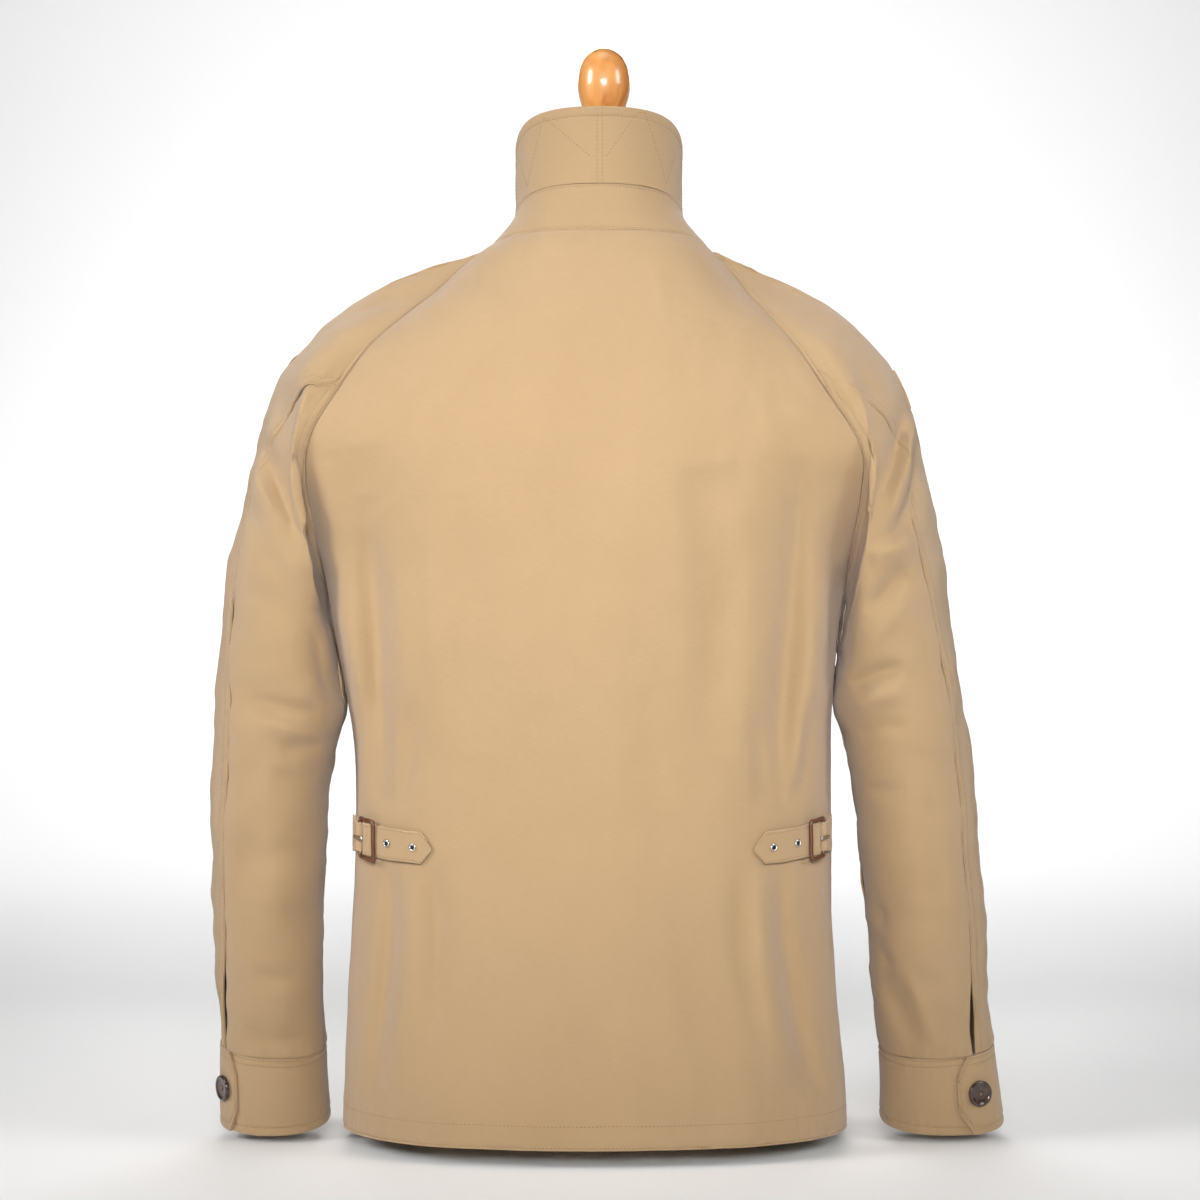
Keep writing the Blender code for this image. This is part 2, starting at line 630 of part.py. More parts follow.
def make_cuff(side):
    """A cuff: one band whose pointed end laps over its start and buttons there."""
    top, under = sleeve_columns()
    around = np.concatenate([[CUFF_START, 32], under, 360 + top[1:], [380, 392, 405, 416, CUFF_END]])
    around = np.unique(around.round(4))
    rows = np.linspace(CUFF_SEAM_ROW, CUFF_SEAM_ROW + 1, 3)
    middle = CUFF_SEAM_ROW + 0.5
    point = np.interp(around, [CUFF_END - 12, CUFF_END], [1, 0.45])
    row_grid = middle + (rows[:, None] - middle) * point
    angles = np.broadcast_to(around, row_grid.shape)
    lap = np.interp(around, *zip(*CUFF_LIFTS))
    sheet = Sheet(SLEEVES[side], row_grid, angles, {"bottom": None}, {"bottom": SEAM / 2}, lift=lap)
    sheet.solid("cuff_" + SIDE_NAMES[side], "cotton", CUFF_CLOTH)
    column = np.interp(BUTTON_ANGLE, around, range(len(around)))
    base = world(sheet.at(1.0, column, SEAM))
    tip = world(sheet.at(1.0, column, SEAM + BUTTON_THICKNESS))
    bm = bmesh.new()
    bmesh.ops.create_cone(bm, cap_ends=True, segments=20, radius1=BUTTON_RADIUS * MM,
                          radius2=BUTTON_RADIUS * MM, depth=BUTTON_THICKNESS * MM)
    rim = [edge for edge in bm.edges if edge.verts[0].co.z > 0 and edge.verts[1].co.z > 0]
    bmesh.ops.bevel(bm, geom=rim, affect="EDGES", offset=0.9 * MM, segments=2, profile=0.5, material=-1)
    button = add_object("button_" + SIDE_NAMES[side], bm, "horn")
    button.location = Vector((base + tip) / 2)
    button.rotation_euler = Vector(tip - base).to_track_quat("Z", "Y").to_euler()


def collar_columns():
    """Angles of the collar's columns at the neck, one for each panel column below it."""
    back = seam_degrees("back", NECK_ROW) * np.linspace(-1, 1, BACK_COLUMNS + 1)
    corner = 180 - seam_degrees("front", NECK_ROW)
    neck = np.linspace(back[-1], corner, NECK_EDGE_COLUMNS + 1)[1:-1]
    edge = BODY_SURFACE.front_edge_angle(NECK_ROW, ZIP_GAP)
    front = corner + (edge - corner) * np.linspace(0, 1, FRONT_COLUMNS + 1)
    half = np.concatenate([neck, front])
    return np.concatenate([-half[::-1], back, half])


def make_collar():
    """The stand and the leaf, which stands up and parts at the front."""
    columns = collar_columns()
    corner = 180 - seam_degrees("front", NECK_ROW)
    last = columns[-1]
    stand_rows = np.linspace(0, LEAF_ROW, 3)
    leaf_rows = np.linspace(LEAF_ROW, 4, 4)
    for name, rows in (("collar_stand", stand_rows), ("collar_leaf", leaf_rows)):
        ends = np.where(rows > 0, 180 - COLLAR.at("opening", rows), last)[:, None]
        beyond = np.abs(columns) - corner
        spread = corner + beyond * (ends - corner) / (last - corner)
        angles = np.where(beyond > 0, np.sign(columns) * spread, columns + 0 * ends)
        seams = {"top": None, "bottom": None}
        gaps = {"bottom": SEAM / 2}
        if name == "collar_stand":
            seams["bottom"] = neck_normals(columns)
            gaps["top"] = SEAM / 2
        Sheet(COLLAR_SURFACE, rows, angles, seams, gaps).solid(name, "cotton", COLLAR_CLOTH)


# Waist adjusters. A run is measured round the waist from the buckle's front bar, towards the side;
# a lift is measured off the back panel to the middle of a layer.
ADJUSTER_HEIGHT = 222.0
ADJUSTER_SLOPE = 0.08
BUCKLE_ANGLE = 58.5
STRAP_HALF_WIDTH = 12.0
STRAP_CLOTH = 1.6
TIP_LENGTH = 9.0
STRAP_PATH = Table(("run", "lift"), [
    (-22, 1.3), (-12, 1.3), (0, 1.3), (9, 1.4), (14, 2.0), (15.8, 3.4), (14, 4.9), (9, 5.4), (4.5, 4.4),
    (0, 3.5), (-12, 3.4), (-24, 3.3), (-34, 2.8), (-44, 2.1), (-51, 1.8)])
STRAP_TURN_ROW = 6.0
TAB_CLOTH = 1.4
TAB_PATH = Table(("run", "lift"), [
    (42, 1.3), (34, 1.3), (27, 1.25), (22.5, 1.2), (20.4, 2.2), (19.9, 3.7), (20.6, 5.2), (22.5, 6.2),
    (25.5, 5.6), (29, 4.2), (34, 3.2), (42, 3.1)])
BUCKLE_LENGTH = 22.5
BUCKLE_HALF_WIDTH = 14.5
BUCKLE_RADIUS = 1.6
BUCKLE_BACK_RADIUS = 1.5
BUCKLE_FRONT_LIFT = 6.3
BUCKLE_BACK_LIFT = 3.7
PRONG_PATH = Table(("run", "lift"), [(27, 7.1), (23.5, 7.95), (18, 7.7), (13, 7.2)])
PRONG_HALF_WIDTH = 1.7
PRONG_THICKNESS = 1.2
EYELET_RUNS = (-13.0, -36.0)
EYELET_RADIUS = 2.3
EYELET_WIRE = 0.7


class WaistPlace:
    """Places over the back panel near one adjuster."""

    def __init__(self, side, back):
        self.side = side
        self.back = back
        row = BODY_SURFACE.row_at(ADJUSTER_HEIGHT)
        self.angles = np.linspace(0, 90, 200)
        steps = np.linalg.norm(np.diff(BODY_SURFACE.point(row, side * self.angles), axis=0), axis=1)
        length = np.concatenate([[0], np.cumsum(steps)])
        self.lengths = length - np.interp(BUCKLE_ANGLE, self.angles, length)

    def at(self, run, across, lift):
        """Points at runs round the waist, heights across the strap and lifts off the back."""
        run, across, lift = np.broadcast_arrays(*(np.asarray(value, float) for value in (run, across, lift)))
        height = ADJUSTER_HEIGHT + across + ADJUSTER_SLOPE * run
        row = np.interp(BODY_SURFACE.row_at(height), PANEL_ROWS, range(len(PANEL_ROWS)))
        angle = np.interp(run, self.lengths, self.angles)
        column = (self.side * angle / 90 + 1) / 2 * BACK_COLUMNS
        return self.back.at(row, column, lift)

    def band(self, name, path, steps, widths, thickness, finish):
        """A strip of cloth or metal along a path of runs and lifts."""
        place = np.linspace(0, path.last, steps)
        run, lift = path.at("run", place), path.at("lift", place)
        turn = unit(np.stack([-np.gradient(lift), np.gradient(run)], -1)) * thickness / 2
        across = np.asarray(widths)[:, None] * np.array([-1, 0, 1])
        outer = self.at((run + turn[:, 0])[:, None], across, (lift + turn[:, 1])[:, None])
        inner = self.at((run - turn[:, 0])[:, None], across, (lift - turn[:, 1])[:, None])
        return wall(name, outer, inner, finish)


def make_strap(waist):
    """The strap, sewn to the back, rolled inside the buckle and ending in a point."""
    steps = 24
    place = np.linspace(0, STRAP_PATH.last, steps)
    from_tip = STRAP_PATH.at("run", place) - STRAP_PATH.at("run", STRAP_PATH.last)
    tapered = np.interp(from_tip, [0, TIP_LENGTH], [0.25, 1])
    widths = STRAP_HALF_WIDTH * np.where(place > STRAP_TURN_ROW, tapered, 1)
    waist.band("adjuster_strap_" + SIDE_NAMES[waist.side], STRAP_PATH, steps, widths, STRAP_CLOTH, "cotton")


def make_tab(waist):
    """The side tab, folded round the buckle's back bar and sewn down, wider at its far end."""
    steps = 16
    run = TAB_PATH.at("run", np.linspace(0, TAB_PATH.last, steps))
    widths = np.interp(run, [24, 42], [10.8, 14.0])
    waist.band("adjuster_tab_" + SIDE_NAMES[waist.side], TAB_PATH, steps, widths, TAB_CLOTH, "cotton")


def tube_ring(name, centres, radii, sides, finish):
    """A closed ring of round wire through centres, in world metres."""
    bm = bmesh.new()
    loops = []
    count = len(centres)
    middle = sum(centres, Vector()) / count
    flat = (centres[0] - middle).cross(centres[count // 4] - middle).normalized()
    for index, centre in enumerate(centres):
        ahead = (centres[(index + 1) % count] - centres[index - 1]).normalized()
        out = ahead.cross(flat).normalized()
        up = out.cross(ahead)
        loop = []
        for side in range(sides):
            turn = 2 * math.pi * side / sides
            loop.append(bm.verts.new(centre + (out * math.cos(turn) + up * math.sin(turn)) * radii[index]))
        loops.append(loop)
    for index in range(count):
        one, other = loops[index], loops[(index + 1) % count]
        for side in range(sides):
            after = (side + 1) % sides
            bm.faces.new((one[side], one[after], other[after], other[side]))
    return add_object(name, bm, finish, 80)


def make_buckle(waist):
    """The buckle's rounded frame, its front bar over the strap and its back bar in the tab."""
    centres, radii = [], []
    count = 20
    for index in range(count):
        turn = 2 * math.pi * index / count
        share = (1 - np.clip(1.35 * math.cos(turn), -1, 1)) / 2
        run = BUCKLE_LENGTH * share
        across = BUCKLE_HALF_WIDTH * float(np.clip(1.35 * math.sin(turn), -1, 1))
        lift = BUCKLE_FRONT_LIFT + (BUCKLE_BACK_LIFT - BUCKLE_FRONT_LIFT) * share
        centres.append(Vector(world(waist.at(run, across, lift))))
        radii.append((BUCKLE_RADIUS + (BUCKLE_BACK_RADIUS - BUCKLE_RADIUS) * share) * MM)
    tube_ring("buckle_" + SIDE_NAMES[waist.side], centres, radii, 8, "leather")


def make_prong(waist):
    """The prong's metal tongue, over the tab and the strap's roll."""
    widths = np.full(8, PRONG_HALF_WIDTH)
    waist.band("prong_" + SIDE_NAMES[waist.side], PRONG_PATH, 8, widths, PRONG_THICKNESS, "steel")


def make_eyelets(waist):
    """The metal rings in the strap's free end."""
    upper = np.linspace(STRAP_TURN_ROW, STRAP_PATH.last, 60)
    runs = STRAP_PATH.at("run", upper)[::-1]
    lifts = STRAP_PATH.at("lift", upper)[::-1]
    for number, run in enumerate(EYELET_RUNS, 1):
        lift = np.interp(run, runs, lifts) + STRAP_CLOTH / 2 + SEAM + EYELET_WIRE
        centres = []
        for index in range(10):
            turn = 2 * math.pi * index / 10
            place = waist.at(run + EYELET_RADIUS * math.cos(turn), EYELET_RADIUS * math.sin(turn), lift)
            centres.append(Vector(world(place)))
        name = "eyelet_%s_%d" % (SIDE_NAMES[waist.side], number)
        tube_ring(name, centres, [EYELET_WIRE * MM] * 10, 4, "steel")


# Front zip. Its teeth lie between the fronts and its tape behind them.
CHAIN_HALF_WIDTH = 2.5
CHAIN_PROUD = 0.4
TAPE_HALF_WIDTH = 14.0
TAPE_CLOTH = 0.9
TAPE_GAP = 0.6
SLIDER_HEIGHT = 596.0
SLIDER_SIZE = (9.0, 2.2, 13.0)
BRIDGE_SIZE = (3.2, 4.6, 7.0)
TUNNEL_RADIUS = 1.25
TUNNEL_LIFT = 3.3
PULL_SIZE = (7.0, 1.3, 24.0)
PULL_WINDOW = (4.4, 3.4)
PULL_BAR = 1.3


def make_zip():
    """The zip's chain and tape down the centre front."""
    rows = PANEL_ROWS
    for name, half_width, columns, lift, thickness, finish in (
            ("zip_chain", CHAIN_HALF_WIDTH, 2, CHAIN_PROUD, CLOTH + CHAIN_PROUD, "steel"),
            ("zip_tape", TAPE_HALF_WIDTH, 5, -(CLOTH + TAPE_GAP), TAPE_CLOTH, "tape")):
        offsets = np.linspace(-1, 1, columns) * half_width
        away = [180 - BODY_SURFACE.front_edge_angle(rows, abs(x)) if x else 0 * rows for x in offsets]
        away = np.stack(away, 1)
        angles = 180 - np.sign(offsets) * away
        sheet = Sheet(BODY_SURFACE, rows, angles, {"top": None}, {"top": SEAM / 2}, lift=lift)
        sheet.solid(name, finish, thickness)


def zip_frame():
    """Place and direction of the slider: its middle on the chain, X across and Z up the front."""
    row = np.interp(SLIDER_HEIGHT, BODY.at("height", PANEL_ROWS) - BODY.at("lift", PANEL_ROWS)
                    - BODY.at("crown", PANEL_ROWS), PANEL_ROWS)
    low, high = (BODY_SURFACE.point(row + step, 180.0) for step in (-0.3, 0.3))
    up = Vector(unit(high - low))
    out = Vector((1, 0, 0)).cross(up) * -1
    frame = Matrix((Vector((1, 0, 0)), out, up)).transposed().to_4x4()
    middle = (low + high) / 2 + np.array(out) * (CHAIN_PROUD + SEAM)
    return Matrix.Translation(Vector(world(middle))) @ frame


def box(name, size, centre, finish):
    """A box of a size in millimetres, in the slider's own directions."""
    bm = bmesh.new()
    bmesh.ops.create_cube(bm, size=1)
    for vertex in bm.verts:
        vertex.co = Vector([(part * side + place) * MM for part, side, place in zip(vertex.co, size, centre)])
    return add_object(name, bm, finish)


def cut(item, cutter):
    """Take a cutter's shape out of an item."""
    change = item.modifiers.new("cut", "BOOLEAN")
    change.operation = "DIFFERENCE"
    change.object = cutter
    cutter.hide_render = True
    cutter.display_type = "WIRE"


def make_slider():
    """The zip's slider, with a bridge and a tunnel across it, and the pull tab that hangs from it."""
    place = zip_frame()
    slider = box("zip_slider", SLIDER_SIZE, (0, SLIDER_SIZE[1] / 2, 0), "steel")
    bridge = box("zip_bridge_form", BRIDGE_SIZE, (0, BRIDGE_SIZE[1] / 2, 0), "steel")
    join = slider.modifiers.new("bridge", "BOOLEAN")
    join.operation = "UNION"
    join.object = bridge
    bridge.hide_render = True
    bridge.display_type = "WIRE"
    bm = bmesh.new()
    bmesh.ops.create_cone(bm, cap_ends=True, segments=12, radius1=TUNNEL_RADIUS * MM,
                          radius2=TUNNEL_RADIUS * MM, depth=20 * MM)
    tunnel = add_object("zip_tunnel_form", bm, "steel")
    tunnel_place = Matrix.Translation(Vector((0, TUNNEL_LIFT * MM, 0))) @ Matrix.Rotation(math.pi / 2, 4, "Y")
    cut(slider, tunnel)
    hinge = place @ Matrix.Translation(Vector((0, TUNNEL_LIFT * MM, 0)))
    pull = box("zip_pull", PULL_SIZE, (0, 0, PULL_BAR / 2 - PULL_SIZE[2] / 2), "steel")
    window = box("zip_window_form", (PULL_WINDOW[0], 9, PULL_WINDOW[1]),
                 (0, 0, -PULL_BAR / 2 - PULL_WINDOW[1] / 2), "steel")
    cut(pull, window)
    slider.matrix_world = place
    bridge.matrix_world = place
    tunnel.matrix_world = place @ tunnel_place
    pull.matrix_world = hinge
    window.matrix_world = pull.matrix_world


# Dress form. Its rings are measured like the body's.
FORM = Table(("height", "lift", "width", "back", "front"), [
    (9, 0, 148, 96, 92), (60, 0, 160, 105, 98), (120, 0, 161, 107, 100), (190, 0, 155, 103, 97),
    (240, 0, 153, 101, 96), (300, 0, 157, 104, 101), (370, 0, 165, 110, 107),
    (430, 0, 171, 114, 110), (490, 1, 175, 114, 108), (528, 3, 176, 109, 102),
    (560, 6, 174, 97, 92), (590, 9, 166, 83, 78), (613, 13, 149, 68, 62), (632.3, 16, 128, 57, 52),
    (647.5, 17, 101, 50.5, 48.3), (661.2, 16, 75, 48, 47), (680, 12, 59, 47, 48), (700, 6, 54, 47, 48),
    (725, 0, 53, 47, 48), (736, 0, 53, 47, 48)])
FORM_CENTRE = -1.0
CAP_PROFILE = ((0, 49.5), (3, 51), (7, 50), (9, 46.5))
CAP_START = 736.3
FINIAL_START = 745.6
FINIAL_CENTRE = 3.0
FINIAL_PROFILE = (
    (0, 17), (4, 18), (10, 12), (15, 9.5), (22, 10.5), (30, 14.2), (38.5, 17.7), (46, 19.6), (53.5, 20.4),
    (62, 19.5), (69, 17.6), (75.3, 13.9), (79.5, 8.5), (81.4, 3))
BASE_WIDTH = 125.0
BASE_DEPTH = 66.0
BASE_FORWARD = 18.0
BASE_PROFILE = ((0, 0.975), (1.8, 1.0), (17, 1.0), (20.4, 0.985), (21.6, 0.95))


def stack(name, rings, finish, smooth_angle=50.0):
    """Closed solid through flat rings of points, from the lowest to the highest."""
    bm = bmesh.new()
    loops = [[bm.verts.new(Vector(place)) for place in world(ring)] for ring in rings]
    for low, high in zip(loops, loops[1:]):
        for index in range(len(low)):
            after = (index + 1) % len(low)
            bm.faces.new((low[index], low[after], high[after], high[index]))
    bm.faces.new(loops[0][::-1])
    bm.faces.new(loops[-1])
    return add_object(name, bm, finish, smooth_angle)


def turned(name, profile, start, centre, finish, sides=20):
    """A turned piece from a profile of heights and radii."""
    turn = np.linspace(0, 2 * math.pi, sides, endpoint=False)
    rings = []
    for height, radius in profile:
        flat = np.full(sides, start + height)
        rings.append(np.stack([centre + radius * np.sin(turn), -radius * np.cos(turn), flat], -1))
    return stack(name, rings, finish)


def make_form():
    """The limbless torso, its neck cap and finial, and the base under it."""
    turn = np.linspace(0, 2 * math.pi, 28, endpoint=False)
    rings = []
    for row in np.linspace(0, FORM.last, 20):
        depth = np.where(np.cos(turn) > 0, FORM.at("back", row), FORM.at("front", row))
        rings.append(np.stack([
            FORM_CENTRE + FORM.at("width", row) * rounded(np.sin(turn)),
            -depth * rounded(np.cos(turn)),
            FORM.at("height", row) + FORM.at("lift", row) * np.cos(turn)], -1))
    stack("form_torso", rings, "linen")
    turned("form_neck_cap", CAP_PROFILE, CAP_START, FINIAL_CENTRE - 2, "wood")
    turned("form_finial", FINIAL_PROFILE, FINIAL_START, FINIAL_CENTRE, "wood")
    base = []
    for height, share in BASE_PROFILE:
        base.append(np.stack([
            BASE_WIDTH * share * rounded(np.sin(turn)),
            BASE_FORWARD - BASE_DEPTH * share * rounded(np.cos(turn)),
            np.full(len(turn), height - HEM_CLEARANCE)], -1))
    stack("form_base", base, "wood")


def main():
    for item in list(bpy.data.objects):
        bpy.data.objects.remove(item)
    back = make_back()
    for side in (LEFT, RIGHT):
        make_front(side)
        make_sleeve(side)
        make_cuff(side)
        waist = WaistPlace(side, back)
        make_strap(waist)
        make_tab(waist)
        make_buckle(waist)
        make_prong(waist)
        make_eyelets(waist)
    make_collar()
    make_zip()
    make_slider()
    make_form()


main()
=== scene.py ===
"""Looks of a golf jacket filled out on a limbless dress form.

The cloth is drawn again on the surfaces of its solids, as thin finely divided sheets with the
photographed creases, seams and sewing. The metal, horn, leather and wood pieces are drawn smooth.

Tables and sizes are in millimetres. A height is measured up from the hem, which hangs
HEM_CLEARANCE above the floor. The jacket's back faces -Y and its left is at -X. An angle round
the body is 0 at the centre back, 90 at the side and 180 at the centre front, and negative on the
left. An angle round a sleeve is 0 along its top, 90 at its back, 180 along its underarm and
negative at its front.
"""

from __future__ import annotations

import json
import logging
import math
from dataclasses import dataclass
from enum import Enum

import bmesh
import bpy
import numpy as np
from mathutils import Matrix, Vector, noise

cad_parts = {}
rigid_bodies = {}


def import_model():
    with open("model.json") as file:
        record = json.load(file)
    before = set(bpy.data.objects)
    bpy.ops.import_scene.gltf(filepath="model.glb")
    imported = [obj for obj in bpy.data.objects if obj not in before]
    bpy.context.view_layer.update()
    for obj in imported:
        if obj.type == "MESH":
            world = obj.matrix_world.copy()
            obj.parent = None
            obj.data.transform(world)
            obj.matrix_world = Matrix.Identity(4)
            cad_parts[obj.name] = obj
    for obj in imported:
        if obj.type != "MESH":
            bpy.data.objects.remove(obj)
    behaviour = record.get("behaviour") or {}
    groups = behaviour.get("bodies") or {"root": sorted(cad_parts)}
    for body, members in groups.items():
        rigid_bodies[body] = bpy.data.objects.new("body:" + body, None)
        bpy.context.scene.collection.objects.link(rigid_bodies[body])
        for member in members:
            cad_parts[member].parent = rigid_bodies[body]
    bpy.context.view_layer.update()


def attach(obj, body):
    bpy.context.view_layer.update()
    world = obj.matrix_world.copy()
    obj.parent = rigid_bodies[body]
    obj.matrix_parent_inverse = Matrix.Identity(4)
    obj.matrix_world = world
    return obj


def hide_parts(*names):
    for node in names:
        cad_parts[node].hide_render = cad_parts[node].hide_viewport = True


LOG = logging.getLogger("jacket")

Numbers = np.ndarray | float
Profile = tuple[tuple[float, float], ...]
Material = bpy.types.Material
Mesh = bmesh.types.BMesh

MM = 0.001
HEM_CLEARANCE = 13.0
CLOTH = 1.4
COLLAR_CLOTH = 2.0
CUFF_CLOTH = 2.4
SEAM = 0.3
SQUARENESS = 0.87
STEP = 0.02
ROOT_BODY = "jacket_on_form"

# Rows of the body's table that bound the armholes.
UNDERARM_ROW = 9.0
SLEEVE_SEAM_ROW = 15.0
NECK_ROW = 20.0


class Table:
    """A short table whose named columns run smoothly from row to row."""

    def __init__(self, columns: tuple[str, ...], rows: list[tuple[float, ...]]) -> None:
        self.columns = {name: np.array(values, float) for name, values in zip(columns, zip(*rows))}
        self.last = len(rows) - 1

    def at(self, name: str, row: Numbers) -> np.ndarray:
        """Catmull-Rom value of a column.

        Args:
            name: The column's name.
            row: Row numbers, which may be fractions.

        Returns:
            The values, one for each row number.
        """
        values = self.columns[name]
        values = np.concatenate([[2 * values[0] - values[1]], values, [2 * values[-1] - values[-2]]])
        row = np.clip(np.asarray(row, float), 0, self.last)
        start = np.minimum(row.astype(int), self.last - 1)
        t = row - start
        a, b, c, d = (values[start + step] for step in range(4))
        bend = 2 * a - 5 * b + 4 * c - d
        return b + t * ((c - a) + t * (bend + t * (3 * (b - c) + d - a))) / 2


BODY = Table(
    ("height", "lift", "crown", "left", "right", "back", "front", "back_angle", "inset", "front_angle"), [
        (0, 0, 0, 197, 190, 128, 120, 90, 0, 90),
        (40, 0, 0, 196, 188, 129, 120, 90, 0, 90),
        (90, 0, 0, 193.5, 182, 127, 118, 90, 0, 90),
        (155, 0, 0, 189, 178, 124, 116, 90, 0, 90),
        (215, 0, 0, 188, 177, 121, 115, 90, 0, 90),
        (265, 0, 0, 188, 177, 121, 115.5, 90, 0, 90),
        (305, 0, 0, 190, 177.5, 122, 117, 90, 0, 90),
        (340, 0, 0, 196, 180, 123, 119, 90, 0, 90),
        (375, 0, 0, 203, 183, 125, 121, 90, 0, 90),
        (410, 0, 0, 208, 187, 126, 123, 90, 0, 90),
        (432, 0.5, 0, 212, 190, 126, 123, 81, 4, 80),
        (457.5, 1, 0, 216, 193, 126, 122, 69.6, 9, 68),
        (482.5, 3, 0, 219, 196, 125, 120, 59, 14, 56),
        (505.5, 5, 0, 218, 196, 123.5, 118, 49, 17, 46),
        (524, 8, 0, 212, 187, 121, 115, 45.5, 18, 42),
        (549, 14, 0.3, 194, 168, 115, 110, 46, 17, 43),
        (578.5, 20, 1, 172, 147, 106, 103, 50, 13, 48),
        (598.5, 24, 2, 150, 130, 98, 98, 56, 10, 53),
        (621, 28, 3.5, 124, 112, 87, 91, 65, 6, 61),
        (639.5, 31, 6, 105, 98, 79, 87, 71, 3, 66),
        (653.5, 33, 7, 85.4, 85.4, 70, 84, 75, 2, 70),
    ])

SLEEVE_COLUMNS = ("outer_x", "outer_height", "inner_x", "inner_height", "forward", "depth", "dip", "twist")
LEFT_RINGS = Table(SLEEVE_COLUMNS, [
    (-88, 663, -208, 410, 2, 88, 0, 0),
    (-137, 650, -208.6, 405, 1, 91, 0, 0),
    (-183, 629, -208.6, 399, 0, 92, 0, 0),
    (-216, 605, -208, 392, 0, 89, 0, 0),
    (-239, 581, -206.6, 384, 0, 85, 0, 0),
    (-251, 556, -205, 375, 0, 81, 0, 0),
    (-259, 529, -203, 365, 0, 78, 0, -3),
    (-267, 501, -200.8, 354, 0, 75, 0, -8),
    (-276, 466, -198.6, 343, 1, 72, 0, -12),
    (-286, 420, -196.5, 331, 2, 69, 1, -13),
    (-293, 370, -195.5, 316, 3, 66, 2, -8),
    (-296, 322, -203, 292, 4, 63, 3, 0),
    (-298, 270, -209, 255, 6, 60, 4, 2),
    (-299, 215, -212, 205, 8, 56, 5, 3),
    (-298, 160, -214, 154, 11, 51, 6, 3),
    (-296, 110, -215, 106, 14, 46, 7, -5),
    (-293, 62, -213, 58, 17, 41, 8, -12),
    (-293, 0, -210, 1, 20, 39, 8, -12),
])
RIGHT_RINGS = Table(SLEEVE_COLUMNS, [
    (88, 663, 187, 410, 2, 88, 0, 0),
    (124, 650, 188.2, 405, 1, 91, 0, 0),
    (164, 630, 188.2, 399, 0, 92, 0, 0),
    (194, 611, 187.4, 392, 0, 89, 0, 0),
    (221, 584, 186.4, 384, 0, 85, 0, 0),
    (235, 557, 185.2, 375, 0, 81, 0, 0),
    (243, 529, 184, 365, 0, 78, 0, 6),
    (250, 501, 183, 354, 0, 75, 0, 13),
    (257, 466, 181.7, 343, 1, 72, 0, 13),
    (265.5, 420, 180.8, 331, 2, 69, 1, 6),
    (273, 370, 180.2, 316, 3, 66, 2, 0),
    (280, 322, 188, 292, 4, 63, 3, -2),
    (286.5, 270, 195, 255, 6, 60, 4, 0),
    (292, 215, 201, 205, 8, 56, 5, 6),
    (297, 160, 206, 154, 11, 51, 6, 7),
    (300, 110, 211, 106, 14, 46, 7, 9),
    (304, 62, 216.5, 58, 17, 41, 8, 12),
    (312, 0, 218, 1, 20, 39, 8, 12),
])
CUFF_SEAM_ROW = 16.0
SLIT_TOP_ROW = 14.6
SLIT_GAP = 2.4
# Rows over which a sleeve leaves its seam line, and over which its columns turn to its own angles.
ARMHOLE_ROWS_SPAN = 4.6
SWEEP_ROWS = 8.0
# Angles round a sleeve at the neck's corner and at the seam between its two pieces.
NECK_CORNER_ANGLE = 12.0
SLEEVE_SEAM_ANGLE = 45.0

COLLAR = Table(
    ("height", "lift", "crown", "width", "back", "front", "opening"), [
        (653.5, 33, 7, 88, 70, 84, 3),
        (671, 35, 10, 70, 66, 77, 3),
        (685, 37.5, 8, 65, 64, 73, 4),
        (712.5, 41.5, 9, 64, 61.5, 74, 10),
        (737.5, 45.5, 10, 64.5, 60, 78, 17),
    ])
COLLAR_CENTRE = -0.8
FRONT_CENTRE_HEM = -3.5
LEAF_ROW = 2.0

